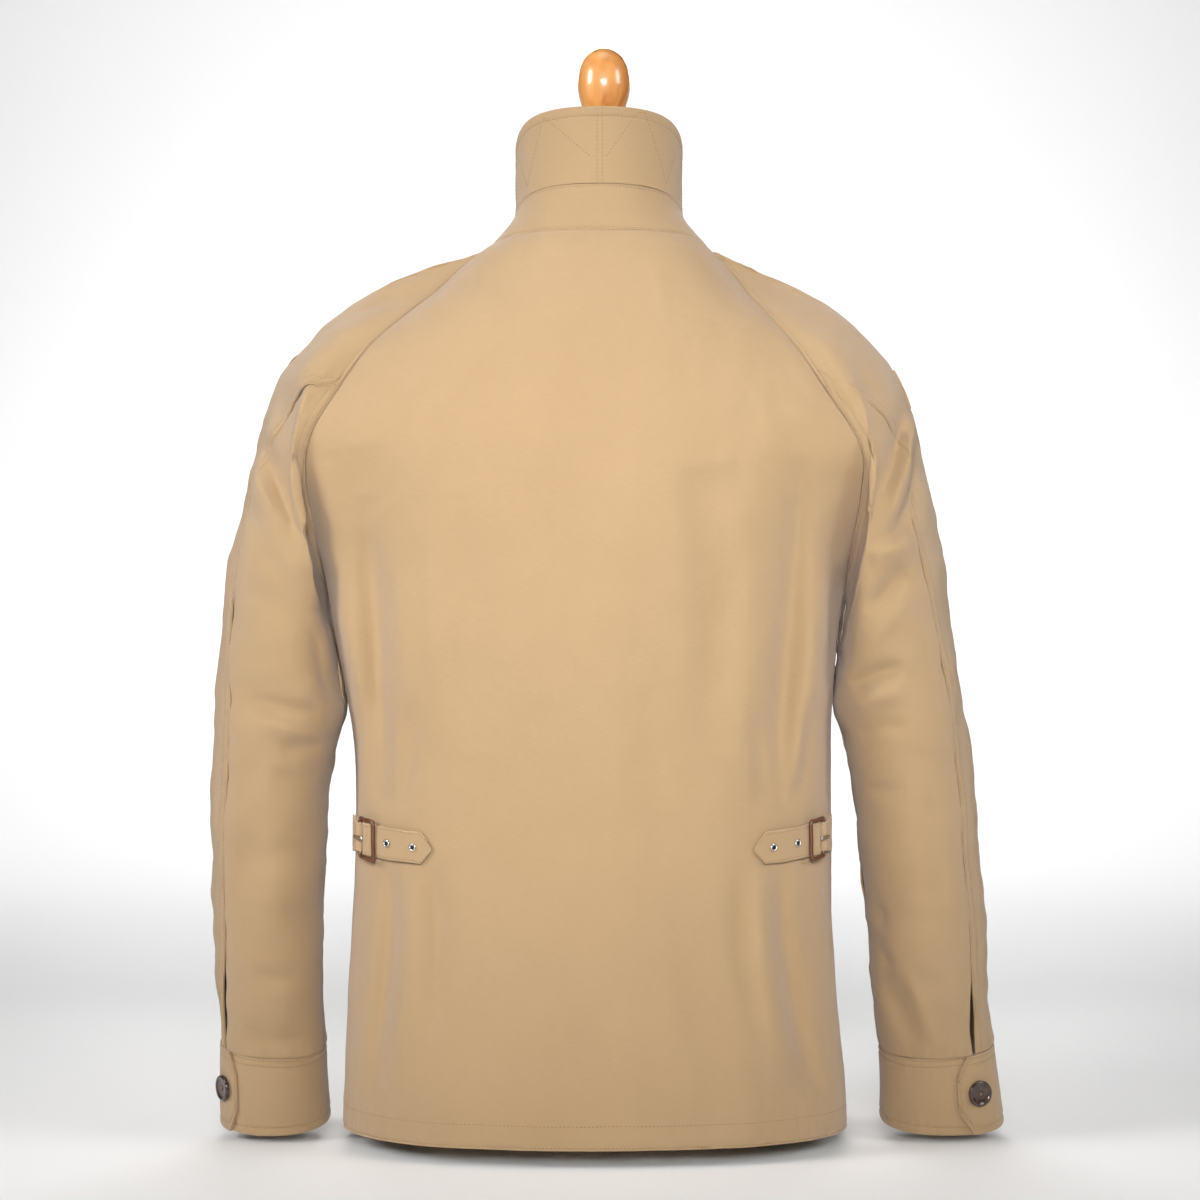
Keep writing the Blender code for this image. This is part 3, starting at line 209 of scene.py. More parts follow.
# Folds of the cloth, each along a curve through three points (x and height, as seen from behind).
# A ridge has a positive depth and a groove a negative one. Its reach is how far it spreads on the
# left and on the right of its course, so that a crease can be steep on one side.
FOLDS = Table(
    ("side", "left_reach", "right_reach", "depth", "x1", "h1", "x2", "h2", "x3", "h3"), [
        # The back panel, down its sides and over the shoulder blades.
        (-1, 12, 15, 9.1, -205, 505, -187, 375, -166, 256),
        (-1, 13, 8, -11.7, -173, 480, -167, 328, -161, 244),
        (-1, 8, 14, -11.7, 151, 508, 141, 372, 134, 243),
        (-1, 12, 10, 7.8, 163, 440, 155, 343, 143, 262),
        (-1, 24, 17, -7.2, 74, 500, 85, 400, 82, 290),
        (-1, 12, 16, 3.2, 104, 470, 108, 400, 102, 300),
        (-1, 18, 24, -5.2, -100, 480, -94, 390, -90, 290),
        (-1, 12, 10, 2.9, -128, 470, -122, 380, -118, 290),
        (-1, 20, 20, -2.6, -180, 515, -172, 490, -158, 470),
        (-1, 20, 20, -2.6, 150, 535, 146, 510, 134, 488),
        (-1, 24, 20, -2.1, -128, 560, -112, 520, -104, 470),
        (-1, 20, 24, -2.1, 112, 560, 100, 520, 95, 470),
        (-1, 14, 12, 1.8, -142, 430, -140, 360, -133, 290),
        (-1, 16, 18, -1.8, -52, 330, -48, 260, -56, 190),
        (-1, 16, 18, -1.6, 34, 340, 42, 270, 38, 200),
        # Gathered at the waist adjusters, above them and fanning out below.
        (-1, 10, 7, -9.1, -157, 208, -160, 136, -168, 30),
        (-1, 7, 10, -9.1, 135, 208, 141, 136, 164, 30),
        (-1, 11, 13, 5.5, -140, 200, -143, 130, -150, 34),
        (-1, 13, 11, 5.5, 118, 205, 122, 130, 140, 34),
        (-1, 7, 9, -4.9, -124, 204, -120, 150, -124, 84),
        (-1, 9, 7, -4.7, 104, 206, 104, 150, 116, 84),
        (-1, 6, 5, -4.7, -170, 250, -174, 290, -178, 338),
        (-1, 6, 7, -4.2, -146, 246, -142, 284, -138, 330),
        (-1, 7, 6, -4.2, 120, 246, 118, 284, 116, 330),
        (-1, 5, 6, -4.4, 148, 248, 154, 288, 158, 330),
        (-1, 7, 7, -2.1, -170, 196, -177, 160, -183, 110),
        (-1, 7, 7, -2.1, 149, 196, 158, 160, 168, 110),
        (-1, 12, 14, -2.9, -12, 90, 2, 56, 16, 6),
        (-1, 12, 10, 1.7, 8, 96, 22, 60, 36, 12),
        (-1, 14, 12, -1.7, -86, 86, -92, 48, -90, 8),
        (-1, 12, 12, -1.6, 74, 92, 84, 50, 88, 8),
        # The left sleeve: the deep armpit crease, its ridge, the hollow and the elbow.
        (-1, 12, 9, -3.2, -246, 574, -240, 550, -234, 522),
        (-1, 6, 8, 2.2, -256, 566, -250, 544, -244, 520),
        (-1, 12, 4, -9, -256, 522, -244, 490, -228, 460),
        (-1, 4, 16, 4, -262, 508, -250, 480, -233, 452),
        (-1, 8, 8, -2.4, -262, 480, -252, 446, -240, 420),
        (-1, 12, 6, -5.5, -214, 384, -208, 352, -200, 322),
        (-1, 8, 6, -6.6, -266, 326, -240, 321, -211, 317),
        (-1, 7, 9, 4.8, -258, 312, -234, 306, -209, 301),
        (-1, 5, 6, -4.8, -240, 290, -226, 292, -211, 292),
        (-1, 5, 5, -2.7, -246, 272, -232, 268, -214, 269),
        (-1, 5, 4, -2.7, -236, 230, -224, 228, -213, 226),
        (-1, 5, 4, -2.4, -244, 217, -230, 214, -216, 215),
        (-1, 6, 5, -3, -240, 168, -226, 163, -213, 164),
        (-1, 5, 5, -2.7, -262, 122, -244, 114, -226, 116),
        (-1, 6, 5, -3.3, -270, 74, -248, 66, -222, 70),
        (-1, 9, 9, -2, -276, 470, -282, 420, -284, 360),
        (-1, 10, 10, -2.4, -262, 250, -268, 200, -266, 150),
        # The right sleeve: the same folds, and the diagonal ones above the cuff.
        (-1, 12, 11, -2.2, 193, 584, 196, 562, 197, 542),
        (-1, 4, 11, -10, 231, 546, 223, 512, 209, 476),
        (-1, 9, 4, 6, 237, 546, 229, 506, 212, 454),
        (-1, 11, 5, -7, 243, 530, 236, 488, 216, 446),
        (-1, 7, 12, 7.5, 202, 432, 220, 441, 240, 449),
        (-1, 6, 8, -6.8, 228, 426, 216, 410, 199, 393),
        (-1, 5, 10, -6, 190, 430, 184, 390, 172, 334),
        (-1, 8, 8, 3.9, 232, 404, 214, 384, 197, 372),
        (-1, 7, 6, -6.8, 190, 337, 208, 346, 228, 350),
        (-1, 8, 8, 4.5, 192, 322, 210, 330, 234, 334),
        (-1, 6, 5, -3.9, 196, 300, 212, 306, 232, 304),
        (-1, 6, 5, -3, 202, 262, 214, 258, 230, 262),
        (-1, 5, 6, -4.2, 202, 190, 209, 168, 217, 148),
        (-1, 5, 6, -4.2, 205, 148, 213, 134, 223, 118),
        (-1, 7, 7, -4.8, 210, 122, 226, 92, 244, 58),
        (-1, 5, 6, -3.3, 226, 114, 233, 99, 240, 82),
        (-1, 7, 7, 2.7, 224, 128, 240, 96, 256, 62),
        (-1, 9, 9, -2, 262, 470, 270, 420, 274, 360),
        (-1, 10, 10, -2.4, 270, 250, 280, 200, 286, 150),
        # The fronts and the sleeves' fronts, folded like the back.
        (1, 14, 12, -4.5, -165, 470, -160, 340, -158, 250),
        (1, 12, 14, -4.5, 145, 470, 138, 340, 134, 250),
        (1, 26, 26, -4, -80, 470, -88, 380, -84, 290),
        (1, 26, 26, -4, 76, 470, 84, 380, 80, 290),
        (1, 12, 14, 2.6, -142, 420, -136, 330, -132, 250),
        (1, 14, 12, 2.6, 122, 420, 114, 330, 112, 250),
        (1, 12, 8, -3.4, -150, 205, -156, 120, -162, 34),
        (1, 8, 12, -3.4, 130, 205, 138, 120, 150, 34),
        (1, 10, 10, -1.8, -112, 200, -112, 140, -118, 70),
        (1, 10, 10, -1.8, 96, 200, 98, 140, 104, 70),
        (1, 8, 8, -1.6, -40, 200, -36, 150, -44, 90),
        (1, 14, 9, -5.5, -230, 540, -222, 500, -212, 448),
        (1, 9, 14, -5.5, 214, 528, 205, 498, 193, 448),
        (1, 10, 14, 5, -256, 514, -240, 484, -218, 446),
        (1, 14, 10, 5, 234, 522, 216, 488, 195, 442),
        (1, 8, 7, -4.2, -262, 330, -240, 318, -214, 308),
        (1, 7, 8, -4.2, 200, 310, 220, 322, 246, 336),
        (1, 8, 8, 2.6, -258, 314, -238, 302, -214, 294),
        (1, 8, 8, 2.6, 200, 296, 220, 306, 246, 320),
        (1, 6, 6, -2.4, -262, 236, -244, 228, -224, 230),
        (1, 6, 6, -2.4, 212, 228, 232, 230, 250, 240),
        (1, 6, 6, -2.4, -268, 120, -250, 108, -230, 108),
        (1, 6, 6, -2.4, 228, 118, 246, 104, 262, 100),
    ])
FOLD_STEPS = 9
FOLD_FACES_FROM = 5.0
FOLD_FADE = 30.0
FOLD_TURNED_FROM = 0.12
FOLD_TURN_FADE = 0.45
FOLD_LEAN = (0.3, 1.0, 0.3)


def unit(vectors: np.ndarray) -> np.ndarray:
    """Vectors of an array scaled to a length of 1."""
    return vectors / np.maximum(np.linalg.norm(vectors, axis=-1, keepdims=True), 1e-12)


def rounded(values: np.ndarray) -> np.ndarray:
    """Sine or cosine values bent towards a slightly squarer ring."""
    return np.sign(values) * np.abs(values) ** SQUARENESS


def fold_height(points: np.ndarray, square: np.ndarray, forward: Numbers) -> np.ndarray:
    """How far folds lift the cloth.

    Args:
        points: Places on the plain surface.
        square: Outward directions there, by which folds fade where the cloth turns away.
        forward: Y of the limb's middle, from which back and front are told apart.

    Returns:
        The lift at each place, along the surface's normal.
    """
    ahead = points[..., 1] - forward
    lift = np.zeros(points.shape[:-1])
    steps = np.linspace(0, 1, FOLD_STEPS)
    for row in range(FOLDS.last + 1):
        fold = {name: values[row] for name, values in FOLDS.columns.items()}
        spread = 3 * max(fold["left_reach"], fold["right_reach"])
        low = min(fold["h1"], fold["h2"], fold["h3"]) - spread
        high = max(fold["h1"], fold["h2"], fold["h3"]) + spread
        left = min(fold["x1"], fold["x2"], fold["x3"]) - spread
        right = max(fold["x1"], fold["x2"], fold["x3"]) + spread
        near = (points[..., 2] > low) & (points[..., 2] < high)
        near &= (points[..., 0] > left) & (points[..., 0] < right)
        near &= fold["side"] * ahead > FOLD_FACES_FROM
        if not near.any():
            continue
        curve = np.array([
            (1 - steps) ** 2 * fold[axis + "1"]
            + 2 * steps * (1 - steps) * (2 * fold[axis + "2"] - (fold[axis + "1"] + fold[axis + "3"]) / 2)
            + steps ** 2 * fold[axis + "3"] for axis in ("x", "h")])
        x, h = points[near][:, 0], points[near][:, 2]
        nearest = np.full(x.shape, np.inf)
        side = np.zeros(x.shape)
        taper = np.zeros(x.shape)
        for start in range(FOLD_STEPS - 1):
            ax, ah = curve[:, start]
            run_x, run_h = curve[:, start + 1] - curve[:, start]
            along = ((x - ax) * run_x + (h - ah) * run_h) / (run_x ** 2 + run_h ** 2)
            along = np.clip(along, 0, 1)
            gap = np.hypot(x - ax - along * run_x, h - ah - along * run_h)
            place = (start + along) / (FOLD_STEPS - 1)
            closer = gap < nearest
            taper = np.where(closer, np.maximum(4 * place * (1 - place), 0) ** 0.7, taper)
            side = np.where(closer, run_x * (h - ah) - run_h * (x - ax), side)
            nearest = np.minimum(nearest, gap)
        facing = np.clip((fold["side"] * ahead[near] - FOLD_FACES_FROM) / FOLD_FADE, 0, 1)
        turned = (fold["side"] * square[near][:, 1] - FOLD_TURNED_FROM) / FOLD_TURN_FADE
        facing = facing * np.clip(turned, 0, 1)
        reach = np.where(side > 0, fold["left_reach"], fold["right_reach"])
        lift[near] += fold["depth"] * facing * taper * np.exp(-(nearest / reach) ** 2)
    return lift


def seam_degrees(face: str, row: Numbers) -> np.ndarray:
    """Angle from the centre back or the centre front at which a body panel ends."""
    return np.minimum(BODY.at(face + "_angle", row), 90)


class Surface:
    """A smooth surface stated by a row of its table and an angle round its middle."""

    outwards = 1.0

    def point(self, row: np.ndarray, angle: np.ndarray) -> np.ndarray:
        """Place of a row and an angle."""
        raise NotImplementedError

    def normal(self, row: Numbers, angle: Numbers) -> np.ndarray:
        """Outward direction, from the surface's slope along the row and the angle."""
        row, angle = np.broadcast_arrays(np.asarray(row, float), np.asarray(angle, float))
        around = self.point(row, angle + 1) - self.point(row, angle - 1)
        along = self.point(row + STEP, angle) - self.point(row - STEP, angle)
        return unit(np.cross(around, along) * self.outwards)

    def forward(self, row: np.ndarray) -> Numbers:
        """Y of the surface's middle, from which its back and front are told apart."""
        return 0.0


class Body(Surface):
    """The jacket's body, from the hem to the neck seam."""

    def point(self, row: np.ndarray, angle: np.ndarray) -> np.ndarray:
        """Place of a row and an angle."""
        row, angle = np.broadcast_arrays(np.asarray(row, float), np.asarray(angle, float))
        turn = np.radians(angle)
        back = np.abs(angle) <= 90
        seam = np.radians(np.where(back, seam_degrees("back", row), seam_degrees("front", row)))
        left = BODY.at("left", row)
        right = BODY.at("right", row)
        width = (left + right) / 2 - np.where(back, 0, BODY.at("inset", row))
        centre = (right - left) / 2 + COLLAR_CENTRE * np.clip((row - UNDERARM_ROW) / 10, 0, 1)
        straight = FRONT_CENTRE_HEM + (COLLAR_CENTRE - FRONT_CENTRE_HEM) * row / NECK_ROW
        centre = centre + (straight - centre) * np.maximum(-np.cos(turn), 0)
        x = centre + width / np.sin(seam) ** SQUARENESS * rounded(np.sin(turn))
        y = -np.where(back, BODY.at("back", row), BODY.at("front", row)) * rounded(np.cos(turn))
        height = BODY.at("height", row) + BODY.at("lift", row) * np.cos(turn)
        height = height - BODY.at("crown", row) * np.cos(2 * turn)
        return np.stack([x, y, height], -1)

    def front_edge_angle(self, row: Numbers, gap: float) -> np.ndarray:
        """Angle, short of 180, at which a front ends a gap away from the centre front."""
        row = np.asarray(row, float)
        seam = np.radians(seam_degrees("front", row))
        width = (BODY.at("left", row) + BODY.at("right", row)) / 2 - BODY.at("inset", row)
        across = width / np.sin(seam) ** SQUARENESS
        return 180 - np.degrees(np.arcsin((gap / across) ** (1 / SQUARENESS)))

    def row_at(self, height: Numbers) -> np.ndarray:
        """Row below the armholes at which the body has a height."""
        rows = np.linspace(0, UNDERARM_ROW, 400)
        return np.interp(height, BODY.at("height", rows), rows)


class Sleeve(Surface):
    """A raglan sleeve, from the neck and the armhole seams to the cuff's lower edge."""

    def __init__(self, side: int, rings: Table) -> None:
        self.side = side
        self.rings = rings
        self.outwards = float(side)

    def ring(self, row: np.ndarray, angle: np.ndarray) -> np.ndarray:
        """Point on the plain ring of a row."""
        turn = np.radians(angle + self.rings.at("twist", row))
        outer = np.stack([self.rings.at("outer_x", row), self.rings.at("outer_height", row)], -1)
        inner = np.stack([self.rings.at("inner_x", row), self.rings.at("inner_height", row)], -1)
        flat = (outer + inner) / 2 + (outer - inner) / 2 * rounded(np.cos(turn))[..., None]
        y = self.rings.at("forward", row) - self.rings.at("depth", row) * rounded(np.sin(turn))
        height = flat[..., 1] - self.rings.at("dip", row) * np.sin(turn)
        return np.stack([flat[..., 0], y, height], -1)

    def armhole(self, angle: np.ndarray) -> np.ndarray:
        """Point on the closed seam line: neck edge, back seam, underarm and front seam."""
        size = np.abs(angle)
        body_row = armhole_row(size)
        on_neck = size < NECK_CORNER_ANGLE
        corners = [180 - seam_degrees("front", NECK_ROW), seam_degrees("back", NECK_ROW)]
        neck = np.interp(angle, [-NECK_CORNER_ANGLE, NECK_CORNER_ANGLE], corners)
        back = seam_degrees("back", body_row)
        front = 180 - seam_degrees("front", body_row)
        around = np.where(on_neck, neck, np.where(angle > 0, back, front))
        return BODY_SURFACE.point(body_row, self.side * around)

    def level_angle(self, seam: np.ndarray) -> np.ndarray:
        """Angle at which the first ring lies level with points of the seam line."""
        top = np.array([self.rings.at(name, 0) for name in ("outer_x", "outer_height")])
        low = np.array([self.rings.at(name, 0) for name in ("inner_x", "inner_height")])
        half = (top - low) / 2
        share = ((seam[..., [0, 2]] - (top + low) / 2) @ half) / (half @ half)
        share = np.clip(share, -1, 1)
        return np.degrees(np.arccos(np.sign(share) * np.abs(share) ** (1 / SQUARENESS)))

    def point(self, row: np.ndarray, angle: np.ndarray) -> np.ndarray:
        """Place of a row and an angle."""
        row, angle = np.broadcast_arrays(np.asarray(row, float), np.asarray(angle, float))
        angle = (angle + 180) % 360 - 180
        seam = self.armhole(angle)
        level = self.level_angle(seam) * np.sign(angle)
        drawn = np.clip(1 - row / SWEEP_ROWS, 0, 1) ** 1.5
        left = np.clip(1 - row / ARMHOLE_ROWS_SPAN, 0, 1)
        fade = (left ** 2 * (3 - 2 * left))[..., None]
        around = angle + (level - angle) * drawn
        return self.ring(row, around) + fade * (seam - self.ring(row * 0, level))

    def forward(self, row: np.ndarray) -> np.ndarray:
        """Y of the sleeve's middle."""
        return self.rings.at("forward", row) * np.clip(row / SWEEP_ROWS, 0, 1)


class Collar(Surface):
    """The collar's stand and its turned-up leaf, from the neck seam to the rim."""

    def ring(self, row: np.ndarray, angle: np.ndarray) -> np.ndarray:
        """Point on the plain ring of a row."""
        turn = np.radians(angle)
        back = np.abs(angle) <= 90
        x = COLLAR_CENTRE + COLLAR.at("width", row) * np.sin(turn)
        y = -np.where(back, COLLAR.at("back", row), COLLAR.at("front", row)) * np.cos(turn)
        height = COLLAR.at("height", row) + COLLAR.at("lift", row) * np.cos(turn)
        height = height - COLLAR.at("crown", row) * np.cos(2 * turn)
        return np.stack([x, y, height], -1)

    def point(self, row: np.ndarray, angle: np.ndarray) -> np.ndarray:
        """Place of a row and an angle."""
        row, angle = np.broadcast_arrays(np.asarray(row, float), np.asarray(angle, float))
        fade = np.clip(1 - row / LEAF_ROW, 0, 1)[..., None]
        seam = BODY_SURFACE.point(NECK_ROW, angle)
        return self.ring(row, angle) + fade * (seam - self.ring(row * 0, angle))


def armhole_row(size: np.ndarray) -> np.ndarray:
    """Row of the body's table that meets a sleeve at an angle of a size."""
    angles = [NECK_CORNER_ANGLE, SLEEVE_SEAM_ANGLE, 180]
    return np.interp(size, angles, [NECK_ROW, SLEEVE_SEAM_ROW, UNDERARM_ROW])


def armhole_angle(body_row: np.ndarray) -> np.ndarray:
    """Angle round a sleeve, without its sign, that meets a row of the body's table."""
    rows = [UNDERARM_ROW, SLEEVE_SEAM_ROW, NECK_ROW]
    return np.interp(body_row, rows, [180, SLEEVE_SEAM_ANGLE, NECK_CORNER_ANGLE])


def seam_angle(side: int, face: str, row: np.ndarray) -> np.ndarray:
    """Angle round the body, signed, of an armhole seam at rows of the body's table."""
    if face == "back":
        return side * seam_degrees("back", row)
    return side * (180 - seam_degrees("front", row))


def neck_normals(angle: np.ndarray) -> np.ndarray:
    """Direction that the collar shares with what it is sewn to, round the neck."""
    angle = np.asarray(angle, float)
    size = np.abs(angle)
    back_corner = seam_degrees("back", NECK_ROW)
    front_corner = 180 - seam_degrees("front", NECK_ROW)
    close = 0.01
    on_body = (size < back_corner + close) | (size > front_corner - close)
    on_sleeve = (size > back_corner - close) & (size < front_corner + close)
    shared = COLLAR_SURFACE.normal(np.zeros(angle.shape), angle)
    shared = shared + BODY_SURFACE.normal(NECK_ROW, angle) * on_body[..., None]
    sleeve_angle = np.interp(size, [back_corner, front_corner], [NECK_CORNER_ANGLE, -NECK_CORNER_ANGLE])
    for side, sleeve in SLEEVES.items():
        here = on_sleeve & (np.sign(angle) == side)
        shared = shared + sleeve.normal(0, sleeve_angle) * here[..., None]
    return unit(shared)


def armhole_normals(side: int, face: str, rows: np.ndarray) -> np.ndarray:
    """Direction that the body and a sleeve share along their seam."""
    around = armhole_angle(rows) * (1 if face == "back" else -1)
    angle = seam_angle(side, face, rows)
    shared = unit(BODY_SURFACE.normal(rows, angle) + SLEEVES[side].normal(0, around))
    at_neck = np.asarray(rows) > NECK_ROW - STEP
    return np.where(at_neck[..., None], neck_normals(angle), shared)


BODY_SURFACE = Body()
COLLAR_SURFACE = Collar()
LEFT, RIGHT = -1, 1
SLEEVES = {LEFT: Sleeve(LEFT, LEFT_RINGS), RIGHT: Sleeve(RIGHT, RIGHT_RINGS)}
SIDE_NAMES = {LEFT: "left", RIGHT: "right"}


class Edge(Enum):
    """How the cloth is finished along a border."""

    PLAIN = "plain"
    FOLDED = "folded"
    FELLED = "felled"


@dataclass(frozen=True)
class Border:
    """One border of a sheet.

    Attributes:
        edge: How the cloth is finished there.
        gap: How far the border is drawn in, square to its seam.
        normals: Directions shared with the sheet beyond the seam, or None.
        sewn: Distances from the border at which it is topstitched.
        pucker: How strongly the sewing gathers the cloth.
    """

    edge: Edge = Edge.PLAIN
    gap: Numbers = 0.0
    normals: np.ndarray | None = None
    sewn: tuple[float, ...] = ()
    pucker: float = 0.0


BORDERS = {
    "bottom": (np.s_[0, :], np.s_[1, :], 0),
    "top": (np.s_[-1, :], np.s_[-2, :], 0),
    "start": (np.s_[:, 0], np.s_[:, 1], 1),
    "end": (np.s_[:, -1], np.s_[:, -2], 1),
}
PULL_FADE = 9.0
ROLL_DEPTH = 0.38
ROLL_WIDTH = 1.1
STITCH_DIP = 0.6
STITCH_DIP_WIDTH = 1.0
FELL_HEIGHT = 0.45
PUCKER_REACH = 9.0
PUCKER_WAVE = 9.0


def sheet_normals(points: np.ndarray, like: np.ndarray) -> np.ndarray:
    """Directions square to a sheet of points, on the same side as other directions."""
    square = unit(np.cross(np.gradient(points, axis=1), np.gradient(points, axis=0)))
    return square * np.where(np.sum(square * like, -1, keepdims=True) < 0, -1, 1)


def lengths(points: np.ndarray, axis: int) -> np.ndarray:
    """Distance run along an axis of a grid of points, from its start."""
    steps = np.linalg.norm(np.diff(points, axis=axis), axis=-1)
    start = np.zeros_like(np.take(steps, [0], axis=axis))
    return np.concatenate([start, np.cumsum(steps, axis=axis)], axis=axis)


def course_at(run: Numbers, length: np.ndarray, points: np.ndarray) -> np.ndarray:
    """Values that a course of points has at distances along it."""
    return np.stack([np.interp(run, length, points[:, axis]) for axis in range(3)], -1)


def full_turn(count: int) -> np.ndarray:
    """Evenly spaced angles once round, in radians."""
    return np.linspace(0, 2 * math.pi, count, endpoint=False)


def drift(points: np.ndarray, scale: tuple[float, float, float], seed: float) -> np.ndarray:
    """Smooth unevenness, about -1 to 1.

    Args:
        points: Places in millimetres.
        scale: Length of the unevenness along each axis.
        seed: Shift that makes one piece differ from another.
    """
    flat = (points / np.array(scale) + seed).reshape(-1, 3)
    made = np.fromiter((noise.noise(Vector(place)) for place in flat), float, len(flat))
    return made.reshape(points.shape[:-1]) * 1.6


@dataclass(frozen=True)
class Wrinkle:
    """Fine unevenness of a piece of cloth: its height and its length along each axis."""

    height: float
    scale: tuple[float, float, float]


BODY_WRINKLES = (Wrinkle(1.5, (46, 46, 110)), Wrinkle(0.55, (17, 17, 34)), Wrinkle(0.14, (7, 7, 9)))
SLEEVE_WRINKLES = (Wrinkle(1.8, (60, 60, 40)), Wrinkle(0.8, (26, 26, 15)), Wrinkle(0.16, (8, 8, 7)))
STIFF_WRINKLES = (Wrinkle(0.35, (34, 34, 26)), Wrinkle(0.10, (9, 9, 8)))


class Sheet:
    """Outer points of a finished panel, with the directions square to it."""

    def __init__(self, surface: Surface, rows: np.ndarray, angles: np.ndarray, borders: dict[str, Border],
                 wrinkles: tuple[Wrinkle, ...] = (), lift: Numbers = 0.0, seed: float = 0.0) -> None:
        """Lay a panel over a surface.

        Args:
            surface: The smooth surface below the cloth.
            rows: Row number of each row of the grid, or of each of its points.
            angles: Angle of each point of the grid.
            borders: How the panel ends at each of its borders.
            wrinkles: Its fine unevenness.
            lift: How far it stands off the surface.
            seed: Shift of its unevenness.
        """
        rows = np.broadcast_to(np.asarray(rows, float).reshape(len(rows), -1), angles.shape)
        flat = surface.point(rows, angles)
        square = surface.normal(rows, angles)
        beside = unit(square[:, 2:] + square[:, :-2])
        turned = np.sum(square[:, 1:-1] * beside, axis=-1) < 0
        square[:, 1:-1][turned] = beside[turned]
        for name, border in borders.items():
            if border.normals is not None:
                square[BORDERS[name][0]] = border.normals
        self.borders = borders
        self.seed = seed
        self.away = {name: self._distance(flat, name) for name in BORDERS}
        folds = fold_height(flat, square, surface.forward(rows))
        fine = np.zeros(folds.shape)
        for wrinkle in wrinkles:
            fine += wrinkle.height * drift(flat, wrinkle.scale, seed + wrinkle.height)
        for name, border in borders.items():
            if border.normals is not None or border.edge is Edge.FELLED:
                fine *= np.clip(self.away[name] / 14, 0, 1)
        leaning = unit(square * FOLD_LEAN)
        self.points = flat + square * fine[..., None] + leaning * folds[..., None]
        self.normals = sheet_normals(self.points, square)
        for name, border in borders.items():
            if border.normals is not None:
                self.normals[BORDERS[name][0]] = square[BORDERS[name][0]]
        raised = lift + sum(self._relief(name, border) for name, border in borders.items())
        self.points = self.points + self.normals * np.broadcast_to(raised, folds.shape)[..., None]
        for name, border in borders.items():
            self._pull_in(name, border.gap)
        self.across = lengths(self.points, 1)
        self.along = lengths(self.points, 0)

    @staticmethod
    def _distance(points: np.ndarray, name: str) -> np.ndarray:
        """Distance of each point from a border."""
        axis = BORDERS[name][2]
        run = lengths(points, axis)
        if name in ("bottom", "start"):
            return run
        return np.take(run, [-1], axis=axis) - run

    def _relief(self, name: str, border: Border) -> np.ndarray:
        """Height of a border's roll, seam allowance, stitch line and puckers."""
        away = self.away[name]
        relief = np.zeros(away.shape)
        if border.edge is not Edge.FELLED:
            relief -= ROLL_DEPTH * np.clip(1 - away / ROLL_WIDTH, 0, 1) ** 2
        if border.sewn:
            last = max(border.sewn)
            if border.edge is Edge.FELLED:
                step = np.clip((last + 1.4 - away) / 1.4, 0, 1)
                relief += FELL_HEIGHT * step * np.clip(away / 1.6, 0, 1)
            for line in border.sewn:
                relief -= STITCH_DIP * np.exp(-((away - line) / STITCH_DIP_WIDTH) ** 2)
        if border.pucker:
            other = "bottom" if BORDERS[name][2] else "start"
            run = self.away[other]
            last = max(border.sewn, default=0.0)
            wave = np.sin(2 * math.pi * (run + 3 * np.sin(run / 17 + self.seed)) / PUCKER_WAVE)
            wave = wave + 0.6 * np.sin(2 * math.pi * run / (PUCKER_WAVE * 2.7) + self.seed)
            strength = 0.6 + 0.4 * np.sin(run / 31 + 2 * self.seed)
            reach = np.exp(-(np.maximum(away - last, 0) / PUCKER_REACH) ** 2) * np.clip(away / 3, 0, 1)
            relief += border.pucker * wave * strength * reach
        return relief

    def _pull_in(self, name: str, amount: Numbers) -> None:
        """Draw a border in, square to its seam, with the cloth just inside it."""
        edge, inside, axis = BORDERS[name]
        inward = unit(np.cross(self.normals[edge], np.gradient(self.points[edge], axis=0)))
        side = np.sign(np.sum(inward * (self.points[inside] - self.points[edge]), axis=1))
        shift = inward * (side * amount)[:, None]
        fade = np.clip(1 - self.away[name] / PULL_FADE, 0, 1)[..., None]
        self.points = self.points + fade * (shift[None] if axis == 0 else shift[:, None])

    def at(self, row: Numbers, column: Numbers, lift: Numbers) -> np.ndarray:
        """Point over the sheet at fractional grid places, lifted off it."""
        made, square = self.place(row, column)
        return made + square * np.asarray(lift, float)[..., None]

    def place(self, row: Numbers, column: Numbers) -> tuple[np.ndarray, np.ndarray]:
        """Point and outward direction at fractional grid places."""
        row = np.clip(np.asarray(row, float), 0, self.points.shape[0] - 1.001)
        column = np.clip(np.asarray(column, float), 0, self.points.shape[1] - 1.001)
        i, j = row.astype(int), column.astype(int)
        s, t = (row - i)[..., None], (column - j)[..., None]
        mixed = []
        for grid in (self.points, self.normals):
            low = grid[i, j] * (1 - t) + grid[i, j + 1] * t
            high = grid[i + 1, j] * (1 - t) + grid[i + 1, j + 1] * t
            mixed.append(low * (1 - s) + high * s)
        return mixed[0], unit(mixed[1])

    def line(self, name: str, distance: float, first: float = 0.0,
             last: float = 1.0) -> tuple[np.ndarray, np.ndarray]:
        """Points and directions of a stitch line at a distance from a border.

        Args:
            name: The border.
            distance: Distance from it.
            first: Share of the border at which the line starts.
            last: Share of the border at which it ends.
        """
        away = self.away[name]
        if BORDERS[name][2] == 0:
            away = away.T
        if name in ("top", "end"):
            away = away[:, ::-1]
        count, size = away.shape
        keep = np.arange(int(first * (count - 1)), int(last * (count - 1)) + 1)
        inner = np.array([np.interp(distance, away[index], np.arange(size)) for index in keep])
        if name in ("top", "end"):
            inner = size - 1 - inner
        return self.place(inner, keep) if BORDERS[name][2] == 0 else self.place(keep, inner)


def world(points: np.ndarray) -> np.ndarray:
    """Table millimetres as world metres, with the hem lifted clear of the floor."""
    return (np.asarray(points, float) + [0, 0, HEM_CLEARANCE]) * MM


